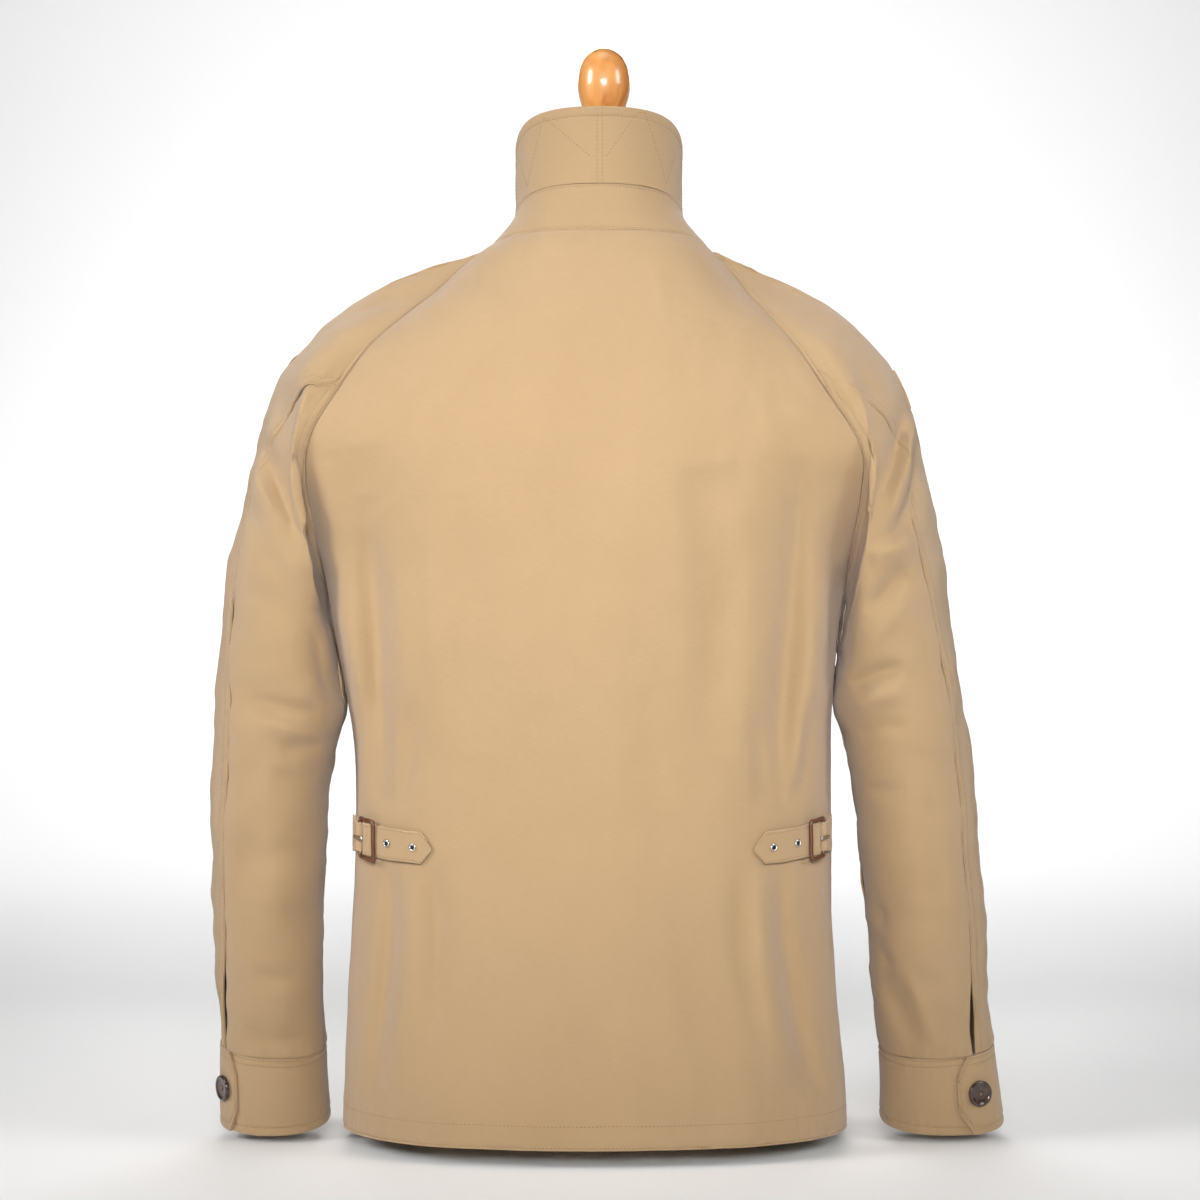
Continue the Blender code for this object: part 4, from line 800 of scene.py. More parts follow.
def feed(tree: bpy.types.NodeTree, node: bpy.types.Node, key: str | int, value: object) -> None:
    """Give a node's input a value, or link a socket to it."""
    if isinstance(value, bpy.types.NodeSocket):
        tree.links.new(value, node.inputs[key])
    else:
        node.inputs[key].default_value = value


def add_node(tree: bpy.types.NodeTree, kind: str, inputs: dict[str | int, object] | None = None,
             **settings: object) -> bpy.types.Node:
    """A new shader node.

    Args:
        tree: The tree that it joins.
        kind: Its type, without the word ShaderNode.
        inputs: Value or source of its inputs, by name or number.
        settings: Its own properties, set first.
    """
    node = tree.nodes.new("ShaderNode" + kind)
    for key, value in settings.items():
        setattr(node, key, value)
    for key, value in (inputs or {}).items():
        feed(tree, node, key, value)
    return node


def new_material(name: str) -> tuple[Material, bpy.types.NodeTree]:
    """A material with a Principled shader, and its tree."""
    material = bpy.data.materials.new(name)
    material.use_nodes = True
    return material, material.node_tree


WEAVE_PITCH = 0.00062
COTTON_TONES = ((0.2, (0.365, 0.244, 0.128)), (0.8, (0.387, 0.262, 0.140)))
THREAD_TONES = [(0.3, (0.72, 0.7, 0.66)), (0.7, (1.0, 1.0, 1.0))]
WOOD_TONES = [(0.3, (0.40, 0.135, 0.030)), (0.5, (0.62, 0.27, 0.075)), (0.75, (0.74, 0.37, 0.13))]


class Finishes:
    """The materials, each made once."""

    def __init__(self) -> None:
        self.made: dict[str, Material] = {}
        self.weave = self._weave_group()

    @staticmethod
    def _ramp(tree: bpy.types.NodeTree, factor: bpy.types.NodeSocket,
              stops: list[tuple[float, tuple[float, float, float]]]) -> bpy.types.NodeSocket:
        """Colour of a ramp over a factor."""
        ramp = add_node(tree, "ValToRGB", {"Fac": factor})
        elements = ramp.color_ramp.elements
        while len(elements) < len(stops):
            elements.new(0.5)
        for element, (place, colour) in zip(elements, stops):
            element.position = place
            element.color = (*colour, 1.0)
        return ramp.outputs["Color"]

    @staticmethod
    def _weave_group() -> bpy.types.NodeTree:
        """Height of a fine plain weave and its tone, from cloth coordinates in metres."""
        group = bpy.data.node_groups.new("fine_weave", "ShaderNodeTree")
        for name, way, kind in (("Cloth", "INPUT", "Vector"), ("Pitch", "INPUT", "Float"),
                                ("Height", "OUTPUT", "Float"), ("Slub", "OUTPUT", "Float")):
            group.interface.new_socket(name, in_out=way, socket_type="NodeSocket" + kind)
        start = group.nodes.new("NodeGroupInput").outputs
        end = group.nodes.new("NodeGroupOutput").inputs
        scaled = add_node(group, "VectorMath", {0: start["Cloth"], "Scale": start["Pitch"]},
                          operation="SCALE").outputs[0]
        parts = add_node(group, "SeparateXYZ", {0: scaled}).outputs
        waves = [add_node(group, "Math", {0: parts[axis]}, operation="SINE").outputs[0]
                 for axis in ("X", "Y")]
        product = add_node(group, "Math", {0: waves[0], 1: waves[1]}, operation="MULTIPLY").outputs[0]
        stretch = add_node(group, "Mapping", {"Scale": (0.04, 0.9, 1.0), "Vector": scaled}).outputs[0]
        slub = add_node(group, "TexNoise", {"Scale": 0.35, "Detail": 3.0, "Vector": stretch}).outputs["Fac"]
        total = add_node(group, "Math", {0: product, 1: 0.5, 2: slub}, operation="MULTIPLY_ADD").outputs[0]
        group.links.new(total, end["Height"])
        group.links.new(slub, end["Slub"])
        return group

    def _finished(self, name: str, inputs: dict[str, object],
                  made: Material) -> Material:
        """Set the inputs of a material's shader, and keep the material."""
        shader = made.node_tree.nodes["Principled BSDF"]
        for key, value in inputs.items():
            feed(made.node_tree, shader, key, value)
        self.made[name] = made
        return made

    def cotton(self, name: str = "cotton_cloth", shade: float = 1.0) -> Material:
        """Matt, closely woven cotton with a soft greyish bloom.

        Args:
            name: The material's name.
            shade: How light it is beside the jacket's outside.
        """
        if name in self.made:
            return self.made[name]
        material, tree = new_material(name)
        place = add_node(tree, "TexCoord").outputs["Object"]
        cloth = add_node(tree, "UVMap", uv_map="cloth").outputs["UV"]
        weave = add_node(tree, "Group", {"Pitch": 2 * math.pi / WEAVE_PITCH, "Cloth": cloth},
                         node_tree=self.weave)
        patchy = add_node(tree, "TexNoise", {
            "Scale": 14.0, "Detail": 6.0, "Roughness": 0.62, "Vector": place})
        tone = self._ramp(tree, patchy.outputs["Fac"], [
            (stop, tuple(shade * part for part in colour)) for stop, colour in COTTON_TONES])
        threads = self._ramp(tree, weave.outputs["Slub"], THREAD_TONES)
        mixed = add_node(tree, "Mix", {"Factor": 0.3, "A": tone, "B": threads},
                         data_type="RGBA", blend_type="MULTIPLY")
        crumple = add_node(tree, "TexNoise", {
            "Scale": 95.0, "Detail": 5.0, "Roughness": 0.55, "Vector": place})
        soft = add_node(tree, "Bump", {
            "Distance": 0.0011, "Strength": 0.42, "Height": crumple.outputs["Fac"]})
        fine = add_node(tree, "Bump", {
            "Distance": 0.00012, "Strength": 0.6, "Height": weave.outputs["Height"],
            "Normal": soft.outputs["Normal"]})
        return self._finished(name, {
            "Base Color": mixed.outputs["Result"], "Normal": fine.outputs["Normal"], "Roughness": 0.86,
            "Specular IOR Level": 0.22, "Sheen Weight": 0.3, "Sheen Roughness": 0.55,
            "Sheen Tint": (0.80, 0.76, 0.80, 1.0)}, material)

    def plain(self, name: str, colour: tuple[float, float, float], roughness: float,
              metallic: float = 0.0, coat: float = 0.0, grain: float = 0.0, grain_size: float = 300.0,
              spread: float = 0.0) -> Material:
        """A smooth finish with a slight mottle.

        Args:
            name: The material's name.
            colour: Its base colour.
            roughness: How matt it is.
            metallic: 1 for bare metal.
            coat: Weight of a clear varnish.
            grain: Height of its surface grain in metres.
            grain_size: How fine the grain is.
            spread: How far its tone wanders.
        """
        if name in self.made:
            return self.made[name]
        material, tree = new_material(name)
        place = add_node(tree, "TexCoord").outputs["Object"]
        mottle = add_node(tree, "TexNoise", {
            "Scale": grain_size, "Detail": 4.0, "Vector": place}).outputs["Fac"]
        tone = self._ramp(tree, mottle, [
            (0.3, tuple(part * (1 - spread) for part in colour)),
            (0.7, tuple(min(1.0, part * (1 + spread)) for part in colour))])
        inputs = {"Base Color": tone, "Roughness": roughness, "Metallic": metallic, "Coat Weight": coat,
                  "Coat Roughness": 0.06}
        if grain:
            bump = add_node(tree, "Bump", {"Distance": grain, "Strength": 0.5, "Height": mottle})
            inputs["Normal"] = bump.outputs["Normal"]
        return self._finished(name, inputs, material)

    def thread_with_painted_shade(self) -> Material:
        """Sewing thread in the cloth's hue, painted much darker than the cloth as the shade of its stitch
        holes.
        """
        # Darker than the cotton: painted shade standing in for the shadows in the stitch holes.
        return self.plain("thread_with_painted_shade", (0.235, 0.148, 0.07), 0.6, spread=0.12, grain_size=700.0)

    def dark(self) -> Material:
        """The unlit inside of a small hole."""
        return self.plain("hole_inside", (0.012, 0.009, 0.008), 0.9)

    def metal(self) -> Material:
        """Bright nickel plate."""
        return self.plain("nickel", (0.66, 0.65, 0.62), 0.26, metallic=1.0, spread=0.05)

    def leather(self) -> Material:
        """Polished brown leather."""
        return self.plain("brown_leather", (0.105, 0.036, 0.014), 0.36, coat=0.35, grain=0.0002,
                          grain_size=900.0, spread=0.45)

    def horn(self) -> Material:
        """Dark brown horn."""
        return self.plain("dark_horn", (0.045, 0.022, 0.014), 0.24, coat=0.5, grain_size=260.0, spread=0.5)

    def linen(self) -> Material:
        """The form's pale cloth cover."""
        return self.plain("form_linen", (0.62, 0.56, 0.46), 0.9, grain=0.0002, grain_size=800.0, spread=0.1)

    def wood(self) -> Material:
        """Varnished orange-brown wood with a grain along its height."""
        name = "varnished_wood"
        if name in self.made:
            return self.made[name]
        material, tree = new_material(name)
        place = add_node(tree, "TexCoord").outputs["Object"]
        stretch = add_node(tree, "Mapping", {"Scale": (34.0, 34.0, 5.0), "Vector": place}).outputs[0]
        rings = add_node(tree, "TexNoise", {
            "Scale": 1.6, "Detail": 6.0, "Distortion": 1.2, "Vector": stretch})
        tone = self._ramp(tree, rings.outputs["Fac"], WOOD_TONES)
        return self._finished(name, {
            "Base Color": tone, "Roughness": 0.3, "Coat Weight": 0.6, "Coat Roughness": 0.08}, material)


def grid_of(bm: Mesh, points: np.ndarray) -> list[list[bmesh.types.BMVert]]:
    """Vertices of a create_grid face sheet moved to an array's points, as rows of vertices."""
    rows, columns = points.shape[:2]
    made = bmesh.ops.create_grid(bm, x_segments=columns - 1, y_segments=rows - 1, size=1)["verts"]
    for vertex, place in zip(made, world(points).reshape(-1, 3)):
        vertex.co = Vector(place)
    return [made[row * columns:(row + 1) * columns] for row in range(rows)]


def rim_of(grid: list[list[bmesh.types.BMVert]]) -> list[bmesh.types.BMVert]:
    """The vertices round a grid's edge, in order."""
    right = [row[-1] for row in grid[1:]]
    left = [row[0] for row in grid[-2:0:-1]]
    return grid[0] + right + grid[-1][-2::-1] + left


def into_scene(name: str, data: bpy.types.ID) -> bpy.types.Object:
    """A new object of the scene."""
    item = bpy.data.objects.new(name, data)
    bpy.context.scene.collection.objects.link(item)
    return item


def place_mesh(name: str, bm: Mesh, material: Material,
               smooth_angle: float = 50.0) -> bpy.types.Object:
    """Scene object of a finished mesh on the jacket's body."""
    bmesh.ops.recalc_face_normals(bm, faces=bm.faces)
    mesh = bpy.data.meshes.new(name)
    bm.to_mesh(mesh)
    bm.free()
    mesh.shade_smooth()
    mesh.set_sharp_from_angle(angle=math.radians(smooth_angle))
    mesh.materials.append(material)
    item = into_scene(name, mesh)
    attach(item, ROOT_BODY)
    return item


def cloth_area(points: np.ndarray) -> float:
    """Area of a grid of points, in square metres."""
    one = np.cross(points[1:, :-1] - points[:-1, :-1], points[:-1, 1:] - points[:-1, :-1])
    other = np.cross(points[1:, :-1] - points[1:, 1:], points[:-1, 1:] - points[1:, 1:])
    return float(np.linalg.norm(one, axis=-1).sum() + np.linalg.norm(other, axis=-1).sum()) / 2 * MM * MM


def cloth_piece(name: str, node: str, outer: np.ndarray, inner: np.ndarray,
                across: np.ndarray, along: np.ndarray, material: Material) -> bpy.types.Object:
    """Closed thin sheet of cloth between two grids of points.

    Args:
        name: The piece's name.
        node: The solid that it takes the place of.
        outer: Points of the face that shows.
        inner: Points of the face behind it.
        across: Cloth coordinate of each point along the rows.
        along: Cloth coordinate of each point along the columns.
        material: The cloth.
    """
    bm = bmesh.new()
    outside = rim_of(grid_of(bm, outer))
    inside = rim_of(grid_of(bm, inner))
    for start, end in zip(range(len(outside)), list(range(1, len(outside))) + [0]):
        bm.faces.new((outside[start], outside[end], inside[end], inside[start]))
    item = place_mesh(name, bm, material)
    layer = item.data.uv_layers.new(name="cloth")
    flat = np.stack([across, along], -1).reshape(-1, 2) * MM
    corner = np.zeros(len(item.data.loops), np.int32)
    item.data.loops.foreach_get("vertex_index", corner)
    layer.data.foreach_set("uv", np.concatenate([flat, flat])[corner].astype(np.float32).ravel())
    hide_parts(node)
    LOG.info("%s: %.4f m2, %d faces", name, cloth_area(outer), len(item.data.polygons))
    return item


# Distances from a finished edge, in millimetres, at which a grid keeps a line.
EDGE_LINES = (0.0, 0.55, 1.1, 1.7, 2.4, 3.2, 4.4, 5.6, 6.6, 7.4, 8.2, 9.0, 9.9, 11.0)


def spaced(first: float, last: float, count: int, run: float, dense_first: bool,
           dense_last: bool) -> np.ndarray:
    """Values from first to last, set closer together over the first or last millimetres.

    Args:
        first: The first value.
        last: The last value.
        count: How many even steps lie between.
        run: Length in millimetres from the first to the last.
        dense_first: Whether the start has a finished edge.
        dense_last: Whether the end has one.
    """
    near = np.array(EDGE_LINES) / run
    low = near if dense_first else np.array([0.0])
    high = 1 - near[::-1] if dense_last else np.array([1.0])
    middle = np.linspace(low[-1], high[0], count + 1)[1:-1]
    return first + (last - first) * np.concatenate([low, middle, high])


class Stitching:
    """The visible sewing of one part of the jacket, gathered into one piece."""

    HALF_LENGTH = 1.1
    HALF_WIDTH = 0.36
    PITCH = 3.0

    def __init__(self) -> None:
        self.places: list[np.ndarray] = []
        self.frames: list[np.ndarray] = []

    def run(self, points: np.ndarray, normals: np.ndarray, sink: float = 0.05) -> None:
        """Sew along a course.

        Args:
            points: The course, in millimetres.
            normals: Outward directions along it.
            sink: How far the stitches' middles lie below the course.
        """
        length = lengths(points, 0)
        if length[-1] < 2 * self.PITCH:
            return
        at = np.arange(self.PITCH / 2, length[-1] - self.PITCH / 2, self.PITCH)
        place = course_at(at, length, points)
        ahead = unit(course_at(at + 1, length, points) - place)
        up = unit(course_at(at, length, normals))
        side = unit(np.cross(up, ahead))
        up = np.cross(ahead, side)
        self.places.append(place - up * sink)
        self.frames.append(np.stack([
            ahead * self.HALF_LENGTH, side * self.HALF_WIDTH, up * self.HALF_WIDTH], -1))

    def along(self, sheet: Sheet, name: str, first: float = 0.0, last: float = 1.0) -> None:
        """Sew every stitch line of a sheet's border."""
        for distance in sheet.borders[name].sewn:
            self.run(*sheet.line(name, distance, first, last))

    def piece(self, name: str, material: Material) -> bpy.types.Object:
        """One object of all the stitches."""
        bm = bmesh.new()
        bmesh.ops.create_uvsphere(bm, u_segments=5, v_segments=3, radius=1,
                                  matrix=Matrix.Rotation(math.pi / 2, 4, "Y"))
        shape = np.array([vertex.co[:] for vertex in bm.verts])
        faces = [[vertex.index for vertex in face.verts] for face in bm.faces]
        bm.free()
        places = np.concatenate(self.places)
        frames = np.concatenate(self.frames)
        made = places[:, None] + np.einsum("nij,kj->nki", frames, shape)
        every = [[index + stitch * len(shape) for index in face]
                 for stitch in range(len(places)) for face in faces]
        mesh = bpy.data.meshes.new(name)
        mesh.from_pydata(world(made).reshape(-1, 3).tolist(), [], every)
        bm = bmesh.new()
        bm.from_mesh(mesh)
        item = place_mesh(name, bm, material, 80)
        LOG.info("%s: %d stitches", name, len(places))
        return item


# Rows and angles of the seam between a sleeve's two pieces.
PANEL_SEAM_ANGLES = {
    LEFT: (
        (0, 45), (0.85, 52), (2.2, 48), (3.4, 43), (5.6, 42), (8.5, 50), (10.7, 54), (12.6, 49), (13.4, 45),
        (16, 45)),
    RIGHT: (
        (0, 45), (1.45, 54), (2.7, 52), (3.8, 48), (5.5, 45), (7.9, 47), (9.7, 51), (11.7, 52), (13.2, 45),
        (16, 45)),
}

# How far in degrees the under panel runs on below the top panel, by row.
PANEL_TUCK = ((0, 0), (0.25, 4), (2.6, 4), (3.6, 0))

# Distances of the sewing from the borders.
HEM_SEWN = (2.0, 17.8)
FELL_SEWN = (1.5, 8.4)
ZIP_SEWN = (2.0, 8.0)
COLLAR_RIM_SEWN = (7.2,)
STAND_SEWN = (1.8,)
PANEL_SEWN = (1.5, 7.0)
CUFF_SEWN = (1.8, 6.4)
CUFF_RIM_SEWN = (6.2,)
ZIP_GAP = 3.0


@dataclass(frozen=True)
class Cut:
    """What shows of a panel as it was cut, in metres: the box round it and its area."""

    width: float
    length: float
    area: float

    def declare(self, item: bpy.types.Object, held: str, *rests_on: str) -> None:
        """Do nothing: the piece is not stated to be cloth of this cut."""


class Panels:
    """The jacket's cloth panels, laid over the body, the sleeves and the collar."""

    BELOW_ROWS = 90
    SIDE_ROWS = 46
    SHOULDER_ROWS = 45
    BACK_COLUMNS = 132
    FRONT_COLUMNS = 52
    SLEEVE_ROWS = 170
    CLOTH_SEED = 3.7

    def __init__(self, finishes: Finishes) -> None:
        self.finishes = finishes
        armhole = np.concatenate([
            np.linspace(UNDERARM_ROW, SLEEVE_SEAM_ROW, self.SIDE_ROWS)[:-1],
            np.linspace(SLEEVE_SEAM_ROW, NECK_ROW, self.SHOULDER_ROWS)])
        below = spaced(0, UNDERARM_ROW, self.BELOW_ROWS, 410, True, False)
        self.armhole_rows = armhole
        self.rows = np.concatenate([below[:-1], armhole])

    def _finish(self, name: str, node: str, sheet: Sheet, cut: str, thickness: float = CLOTH,
                rests_on: str = "form_torso") -> None:
        """Make a panel's piece."""
        item = cloth_piece(name, node, sheet.points, sheet.points - sheet.normals * thickness,
                           sheet.across, sheet.along, self.finishes.cotton())
        CUTS[cut].declare(item, "hung", rests_on)

    def _body_normals(self, side: int, face: str) -> np.ndarray:
        """Shared directions down a body panel's armhole seam and side seam."""
        below = self.rows < UNDERARM_ROW - STEP
        angle = seam_angle(side, face, self.rows)
        square = BODY_SURFACE.normal(self.rows, angle)
        return np.where(below[:, None], square, armhole_normals(side, face, self.rows))

    def back(self, sewing: Stitching) -> Sheet:
        """The back, one panel from side seam to side seam and up to the neck."""
        share = spaced(-1, 1, self.BACK_COLUMNS, 520, True, True)
        angles = seam_degrees("back", self.rows)[:, None] * share
        borders = {
            "start": Border(gap=SEAM / 2, normals=self._body_normals(LEFT, "back"), pucker=0.22),
            "end": Border(gap=SEAM / 2, normals=self._body_normals(RIGHT, "back"), pucker=0.22),
            "top": Border(gap=SEAM / 2, normals=neck_normals(angles[-1]), pucker=0.12),
            "bottom": Border(Edge.FOLDED, sewn=HEM_SEWN, pucker=0.55),
        }
        sheet = Sheet(BODY_SURFACE, self.rows, angles, borders, BODY_WRINKLES, seed=self.CLOTH_SEED)
        self._finish("back_panel", "back", sheet, "back")
        sewing.along(sheet, "bottom")
        return sheet

    def front(self, side: int, sewing: Stitching) -> Sheet:
        """A front, from the side and armhole seams to the zip."""
        edge = BODY_SURFACE.front_edge_angle(self.rows, ZIP_GAP)
        share = spaced(0, 1, self.FRONT_COLUMNS, 220, True, True)
        start = 180 - seam_degrees("front", self.rows)
        angles = side * (start[:, None] * (1 - share) + edge[:, None] * share)
        borders = {
            "start": Border(gap=SEAM / 2, normals=self._body_normals(side, "front"), pucker=0.22),
            "top": Border(gap=SEAM / 2, normals=neck_normals(angles[-1]), pucker=0.12),
            "bottom": Border(Edge.FOLDED, sewn=HEM_SEWN, pucker=0.5),
            "end": Border(Edge.FOLDED, sewn=ZIP_SEWN, pucker=0.14),
        }
        sheet = Sheet(BODY_SURFACE, self.rows, angles, borders, BODY_WRINKLES, seed=side * 11.3)
        name = SIDE_NAMES[side]
        self._finish("front_panel_" + name, "front_" + name, sheet, "front")
        sewing.along(sheet, "bottom")
        sewing.along(sheet, "end")
        return sheet

    def _sleeve_columns(self) -> tuple[np.ndarray, np.ndarray]:
        """Angles of the two sleeve pieces' columns, which meet the body's armhole rows."""
        around = armhole_angle(self.armhole_rows)
        neck = np.linspace(-NECK_CORNER_ANGLE, NECK_CORNER_ANGLE, 15)[1:-1]
        upper = around[around <= SLEEVE_SEAM_ANGLE + STEP][::-1]
        under = around[around >= SLEEVE_SEAM_ANGLE - STEP][::-1]
        return np.concatenate([-around, neck, upper]), under

    def sleeve(self, side: int, sewing: Stitching) -> None:
        """The two pieces of a sleeve, with the slit left open above the cuff."""
        surface = SLEEVES[side]
        name = SIDE_NAMES[side]
        rows = spaced(0, CUFF_SEAM_ROW, self.SLEEVE_ROWS, 620, True, True)
        slit_rows = [SLIT_TOP_ROW, SLIT_TOP_ROW + 0.8, CUFF_SEAM_ROW]
        slit = np.interp(rows, slit_rows, [0, SLIT_GAP, SLIT_GAP / 2]) + SEAM / 2
        top, under = self._sleeve_columns()
        for part, columns in (("top", top), ("under", under)):
            size = np.abs(columns)
            body_rows = armhole_row(size)
            shared = np.where((columns > 0)[:, None], armhole_normals(side, "back", body_rows),
                              armhole_normals(side, "front", body_rows))
            corners = [180 - seam_degrees("front", NECK_ROW), seam_degrees("back", NECK_ROW)]
            neck = np.interp(columns, [-NECK_CORNER_ANGLE, NECK_CORNER_ANGLE], corners)
            on_neck = size <= NECK_CORNER_ANGLE + STEP
            shared = np.where(on_neck[:, None], neck_normals(side * neck), shared)
            split, underarm = ("end", "start") if part == "top" else ("start", "end")
            panel_sewn = PANEL_SEWN if part == "top" else ()
            borders = {
                "bottom": Border(Edge.FELLED, SEAM / 2, shared, FELL_SEWN, 0.4),
                "top": Border(Edge.PLAIN, SEAM / 2, None, (), 0.5),
                split: Border(Edge.FELLED if panel_sewn else Edge.PLAIN, slit, None, panel_sewn, 0.3),
                underarm: Border(Edge.PLAIN, SEAM / 2, None, (), 0.2),
            }
            split_angle = np.interp(rows, *zip(*PANEL_SEAM_ANGLES[side]))[:, None]
            if part == "under":
                split_angle = split_angle - np.interp(rows, *zip(*PANEL_TUCK))[:, None]
            angles = np.where(
                columns < SLEEVE_SEAM_ANGLE,
                columns + (split_angle - SLEEVE_SEAM_ANGLE) * np.clip(columns / SLEEVE_SEAM_ANGLE, 0, 1),
                180 - (180 - columns) * (180 - split_angle) / (180 - SLEEVE_SEAM_ANGLE))
            sheet = Sheet(surface, rows, angles, borders, SLEEVE_WRINKLES, seed=side * 5.1 + len(part))
            self._finish(f"sleeve_{part}_panel_{name}", f"sleeve_{part}_{name}", sheet, "sleeve_" + part)
            sewing.along(sheet, "bottom")
            sewing.along(sheet, split)

    def cuff(self, side: int, sewing: Stitching) -> Sheet:
        """A cuff: one band whose pointed end laps over its start."""
        around = spaced(CUFF_START, CUFF_END, 176, 300, True, True)
        rows = spaced(CUFF_SEAM_ROW, CUFF_SEAM_ROW + 1, 22, 60, True, True)
        middle = CUFF_SEAM_ROW + 0.5
        point = np.interp(around, [CUFF_END - 12, CUFF_END], [1, 0.45])
        row_grid = middle + (rows[:, None] - middle) * point
        angles = np.broadcast_to(around, row_grid.shape)
        lap = np.interp(around, *zip(*CUFF_LIFTS))
        borders = {
            "bottom": Border(Edge.FOLDED, SEAM / 2, None, CUFF_SEWN, 0.2),
            "top": Border(Edge.FOLDED, 0.0, None, CUFF_RIM_SEWN, 0.25),
            "end": Border(Edge.FOLDED, 0.0, None, (2.0,), 0.0),
            "start": Border(Edge.FOLDED),
        }
        sheet = Sheet(SLEEVES[side], row_grid, angles, borders, STIFF_WRINKLES, lap, side * 2.3)
        name = SIDE_NAMES[side]
        self._finish("cuff_band_" + name, "cuff_" + name, sheet, "cuff", CUFF_CLOTH,
                     "sleeve_top_panel_" + name)
        for border in ("bottom", "top", "end"):
            sewing.along(sheet, border)
        return sheet

    def collar(self, sewing: Stitching) -> None:
        """The stand and the leaf, which stands up and parts at the front."""
        back = seam_degrees("back", NECK_ROW)
        corner = 180 - seam_degrees("front", NECK_ROW)
        last = float(BODY_SURFACE.front_edge_angle(NECK_ROW, ZIP_GAP))
        half = spaced(0, last, 78, 210, False, True)
        half = np.unique(np.concatenate([half, [back, corner]]).round(5))
        columns = np.concatenate([-half[:0:-1], half])
        for name, rows in (("collar_stand", spaced(0, LEAF_ROW, 12, 32, True, True)),
                           ("collar_leaf", spaced(LEAF_ROW, 4, 26, 60, True, True))):
            ends = np.where(rows > 0, 180 - COLLAR.at("opening", rows), last)[:, None]
            beyond = np.abs(columns) - corner
            spread = corner + beyond * (ends - corner) / (last - corner)
            angles = np.where(beyond > 0, np.sign(columns) * spread, columns + 0 * ends)
            stand = name == "collar_stand"
            edge_sewn = () if stand else COLLAR_RIM_SEWN
            borders = {
                "bottom": Border(Edge.PLAIN, SEAM / 2, neck_normals(columns) if stand else None,
                                 STAND_SEWN if stand else (), 0.1),
                "top": Border(Edge.PLAIN if stand else Edge.FOLDED, SEAM / 2 if stand else 0.0, None,
                              STAND_SEWN if stand else COLLAR_RIM_SEWN, 0.1),
                "start": Border(Edge.FOLDED, sewn=edge_sewn),
                "end": Border(Edge.FOLDED, sewn=edge_sewn),
            }
            sheet = Sheet(COLLAR_SURFACE, rows, angles, borders, STIFF_WRINKLES, seed=len(name))
            self._finish(name + "_panel", name, sheet, name, COLLAR_CLOTH,
                         "back_panel" if stand else "collar_stand_panel")
            for border in borders:
                sewing.along(sheet, border)
            if not stand:
                self._leaf_zigzag(sheet, sewing)

    @staticmethod
    def _leaf_zigzag(sheet: Sheet, sewing: Stitching) -> None:
        """The rows of stitching that stiffen the under side of the leaf, and its middle seam."""
        courses = [
            ((-85, 40), (-65, 8), (-46, 55), (-6, 20)), ((5, 20), (31, 56), (37, 56), (59, 7), (76, 40)),
            ((-1.4, 1), (-1.4, 66)), ((2.6, 1), (2.6, 66)),
            ((-130, 34), (-112, 8), (-94, 48)), ((86, 44), (104, 8), (124, 36))]
        middle = int(np.argmin(np.abs(sheet.points[0, :, 0] - COLLAR_CENTRE)
                               + 1000 * (sheet.points[0, :, 1] > 0)))
        run = sheet.across[0] - sheet.across[0, middle]
        for course in courses:
            corners = np.array(course, float)
            steps = np.concatenate([np.linspace(0, 1, 24) + part for part in range(len(corners) - 1)])
            across = np.interp(steps, np.arange(len(corners)), corners[:, 0])
            up = np.interp(steps, np.arange(len(corners)), corners[:, 1])
            column = np.interp(across, run, np.arange(len(run)))
            heights = sheet.along[:, middle]
            row = np.interp(up, heights, np.arange(len(heights)))
            sewing.run(*sheet.place(row, column))


CUFF_START = 20.0
CUFF_END = 427.0
# How far the band stands off the sleeve at angles round it: its start tucks under its end.
CUFF_LIFTS = ((CUFF_START, -1.3), (60, -1.3), (100, 0.5), (340, 0.5), (372, 1.5), (CUFF_END, 1.5))
BUTTON_ANGLE = 405.0

# Waist adjusters. A run is measured round the waist from the buckle's front bar, towards the side;
# a lift is measured off the back panel to the middle of a layer.
ADJUSTER_HEIGHT = 222.0
ADJUSTER_SLOPE = 0.08
BUCKLE_ANGLE = 58.5
STRAP_HALF_WIDTH = 12.0
STRAP_CLOTH = 1.6
TIP_LENGTH = 9.0
STRAP_PATH = Table(("run", "lift"), [
    (-22, 1.3), (-12, 1.3), (0, 1.3), (9, 1.4), (14, 2.0), (15.8, 3.4), (14, 4.9), (9, 5.4), (4.5, 4.4),
    (0, 3.5), (-12, 3.4), (-24, 3.3), (-34, 2.8), (-44, 2.1), (-51, 1.8)])
STRAP_TURN_ROW = 6.0
TAB_CLOTH = 1.4
TAB_PATH = Table(("run", "lift"), [
    (42, 1.3), (34, 1.3), (27, 1.25), (22.5, 1.2), (20.4, 2.2), (19.9, 3.7), (20.6, 5.2), (22.5, 6.2),
    (25.5, 5.6), (29, 4.2), (34, 3.2), (42, 3.1)])
BUCKLE_LENGTH = 22.5
BUCKLE_HALF_WIDTH = 14.5
BUCKLE_RADIUS = 1.6
BUCKLE_BACK_RADIUS = 1.5
BUCKLE_FRONT_LIFT = 6.3
BUCKLE_BACK_LIFT = 3.7
PRONG_PATH = Table(("run", "lift"), [(27, 7.1), (23.5, 7.95), (18, 7.7), (13, 7.2)])
PRONG_HALF_WIDTH = 1.7
PRONG_THICKNESS = 1.2
EYELET_RUNS = (-13.0, -36.0)
EYELET_RADIUS = 2.3
EYELET_WIRE = 0.7

# Front zip. Its teeth lie between the fronts and its tape behind them.
CHAIN_HALF_WIDTH = 2.5
CHAIN_PROUD = 0.4
TAPE_HALF_WIDTH = 14.0
TAPE_CLOTH = 0.9
TAPE_GAP = 0.6

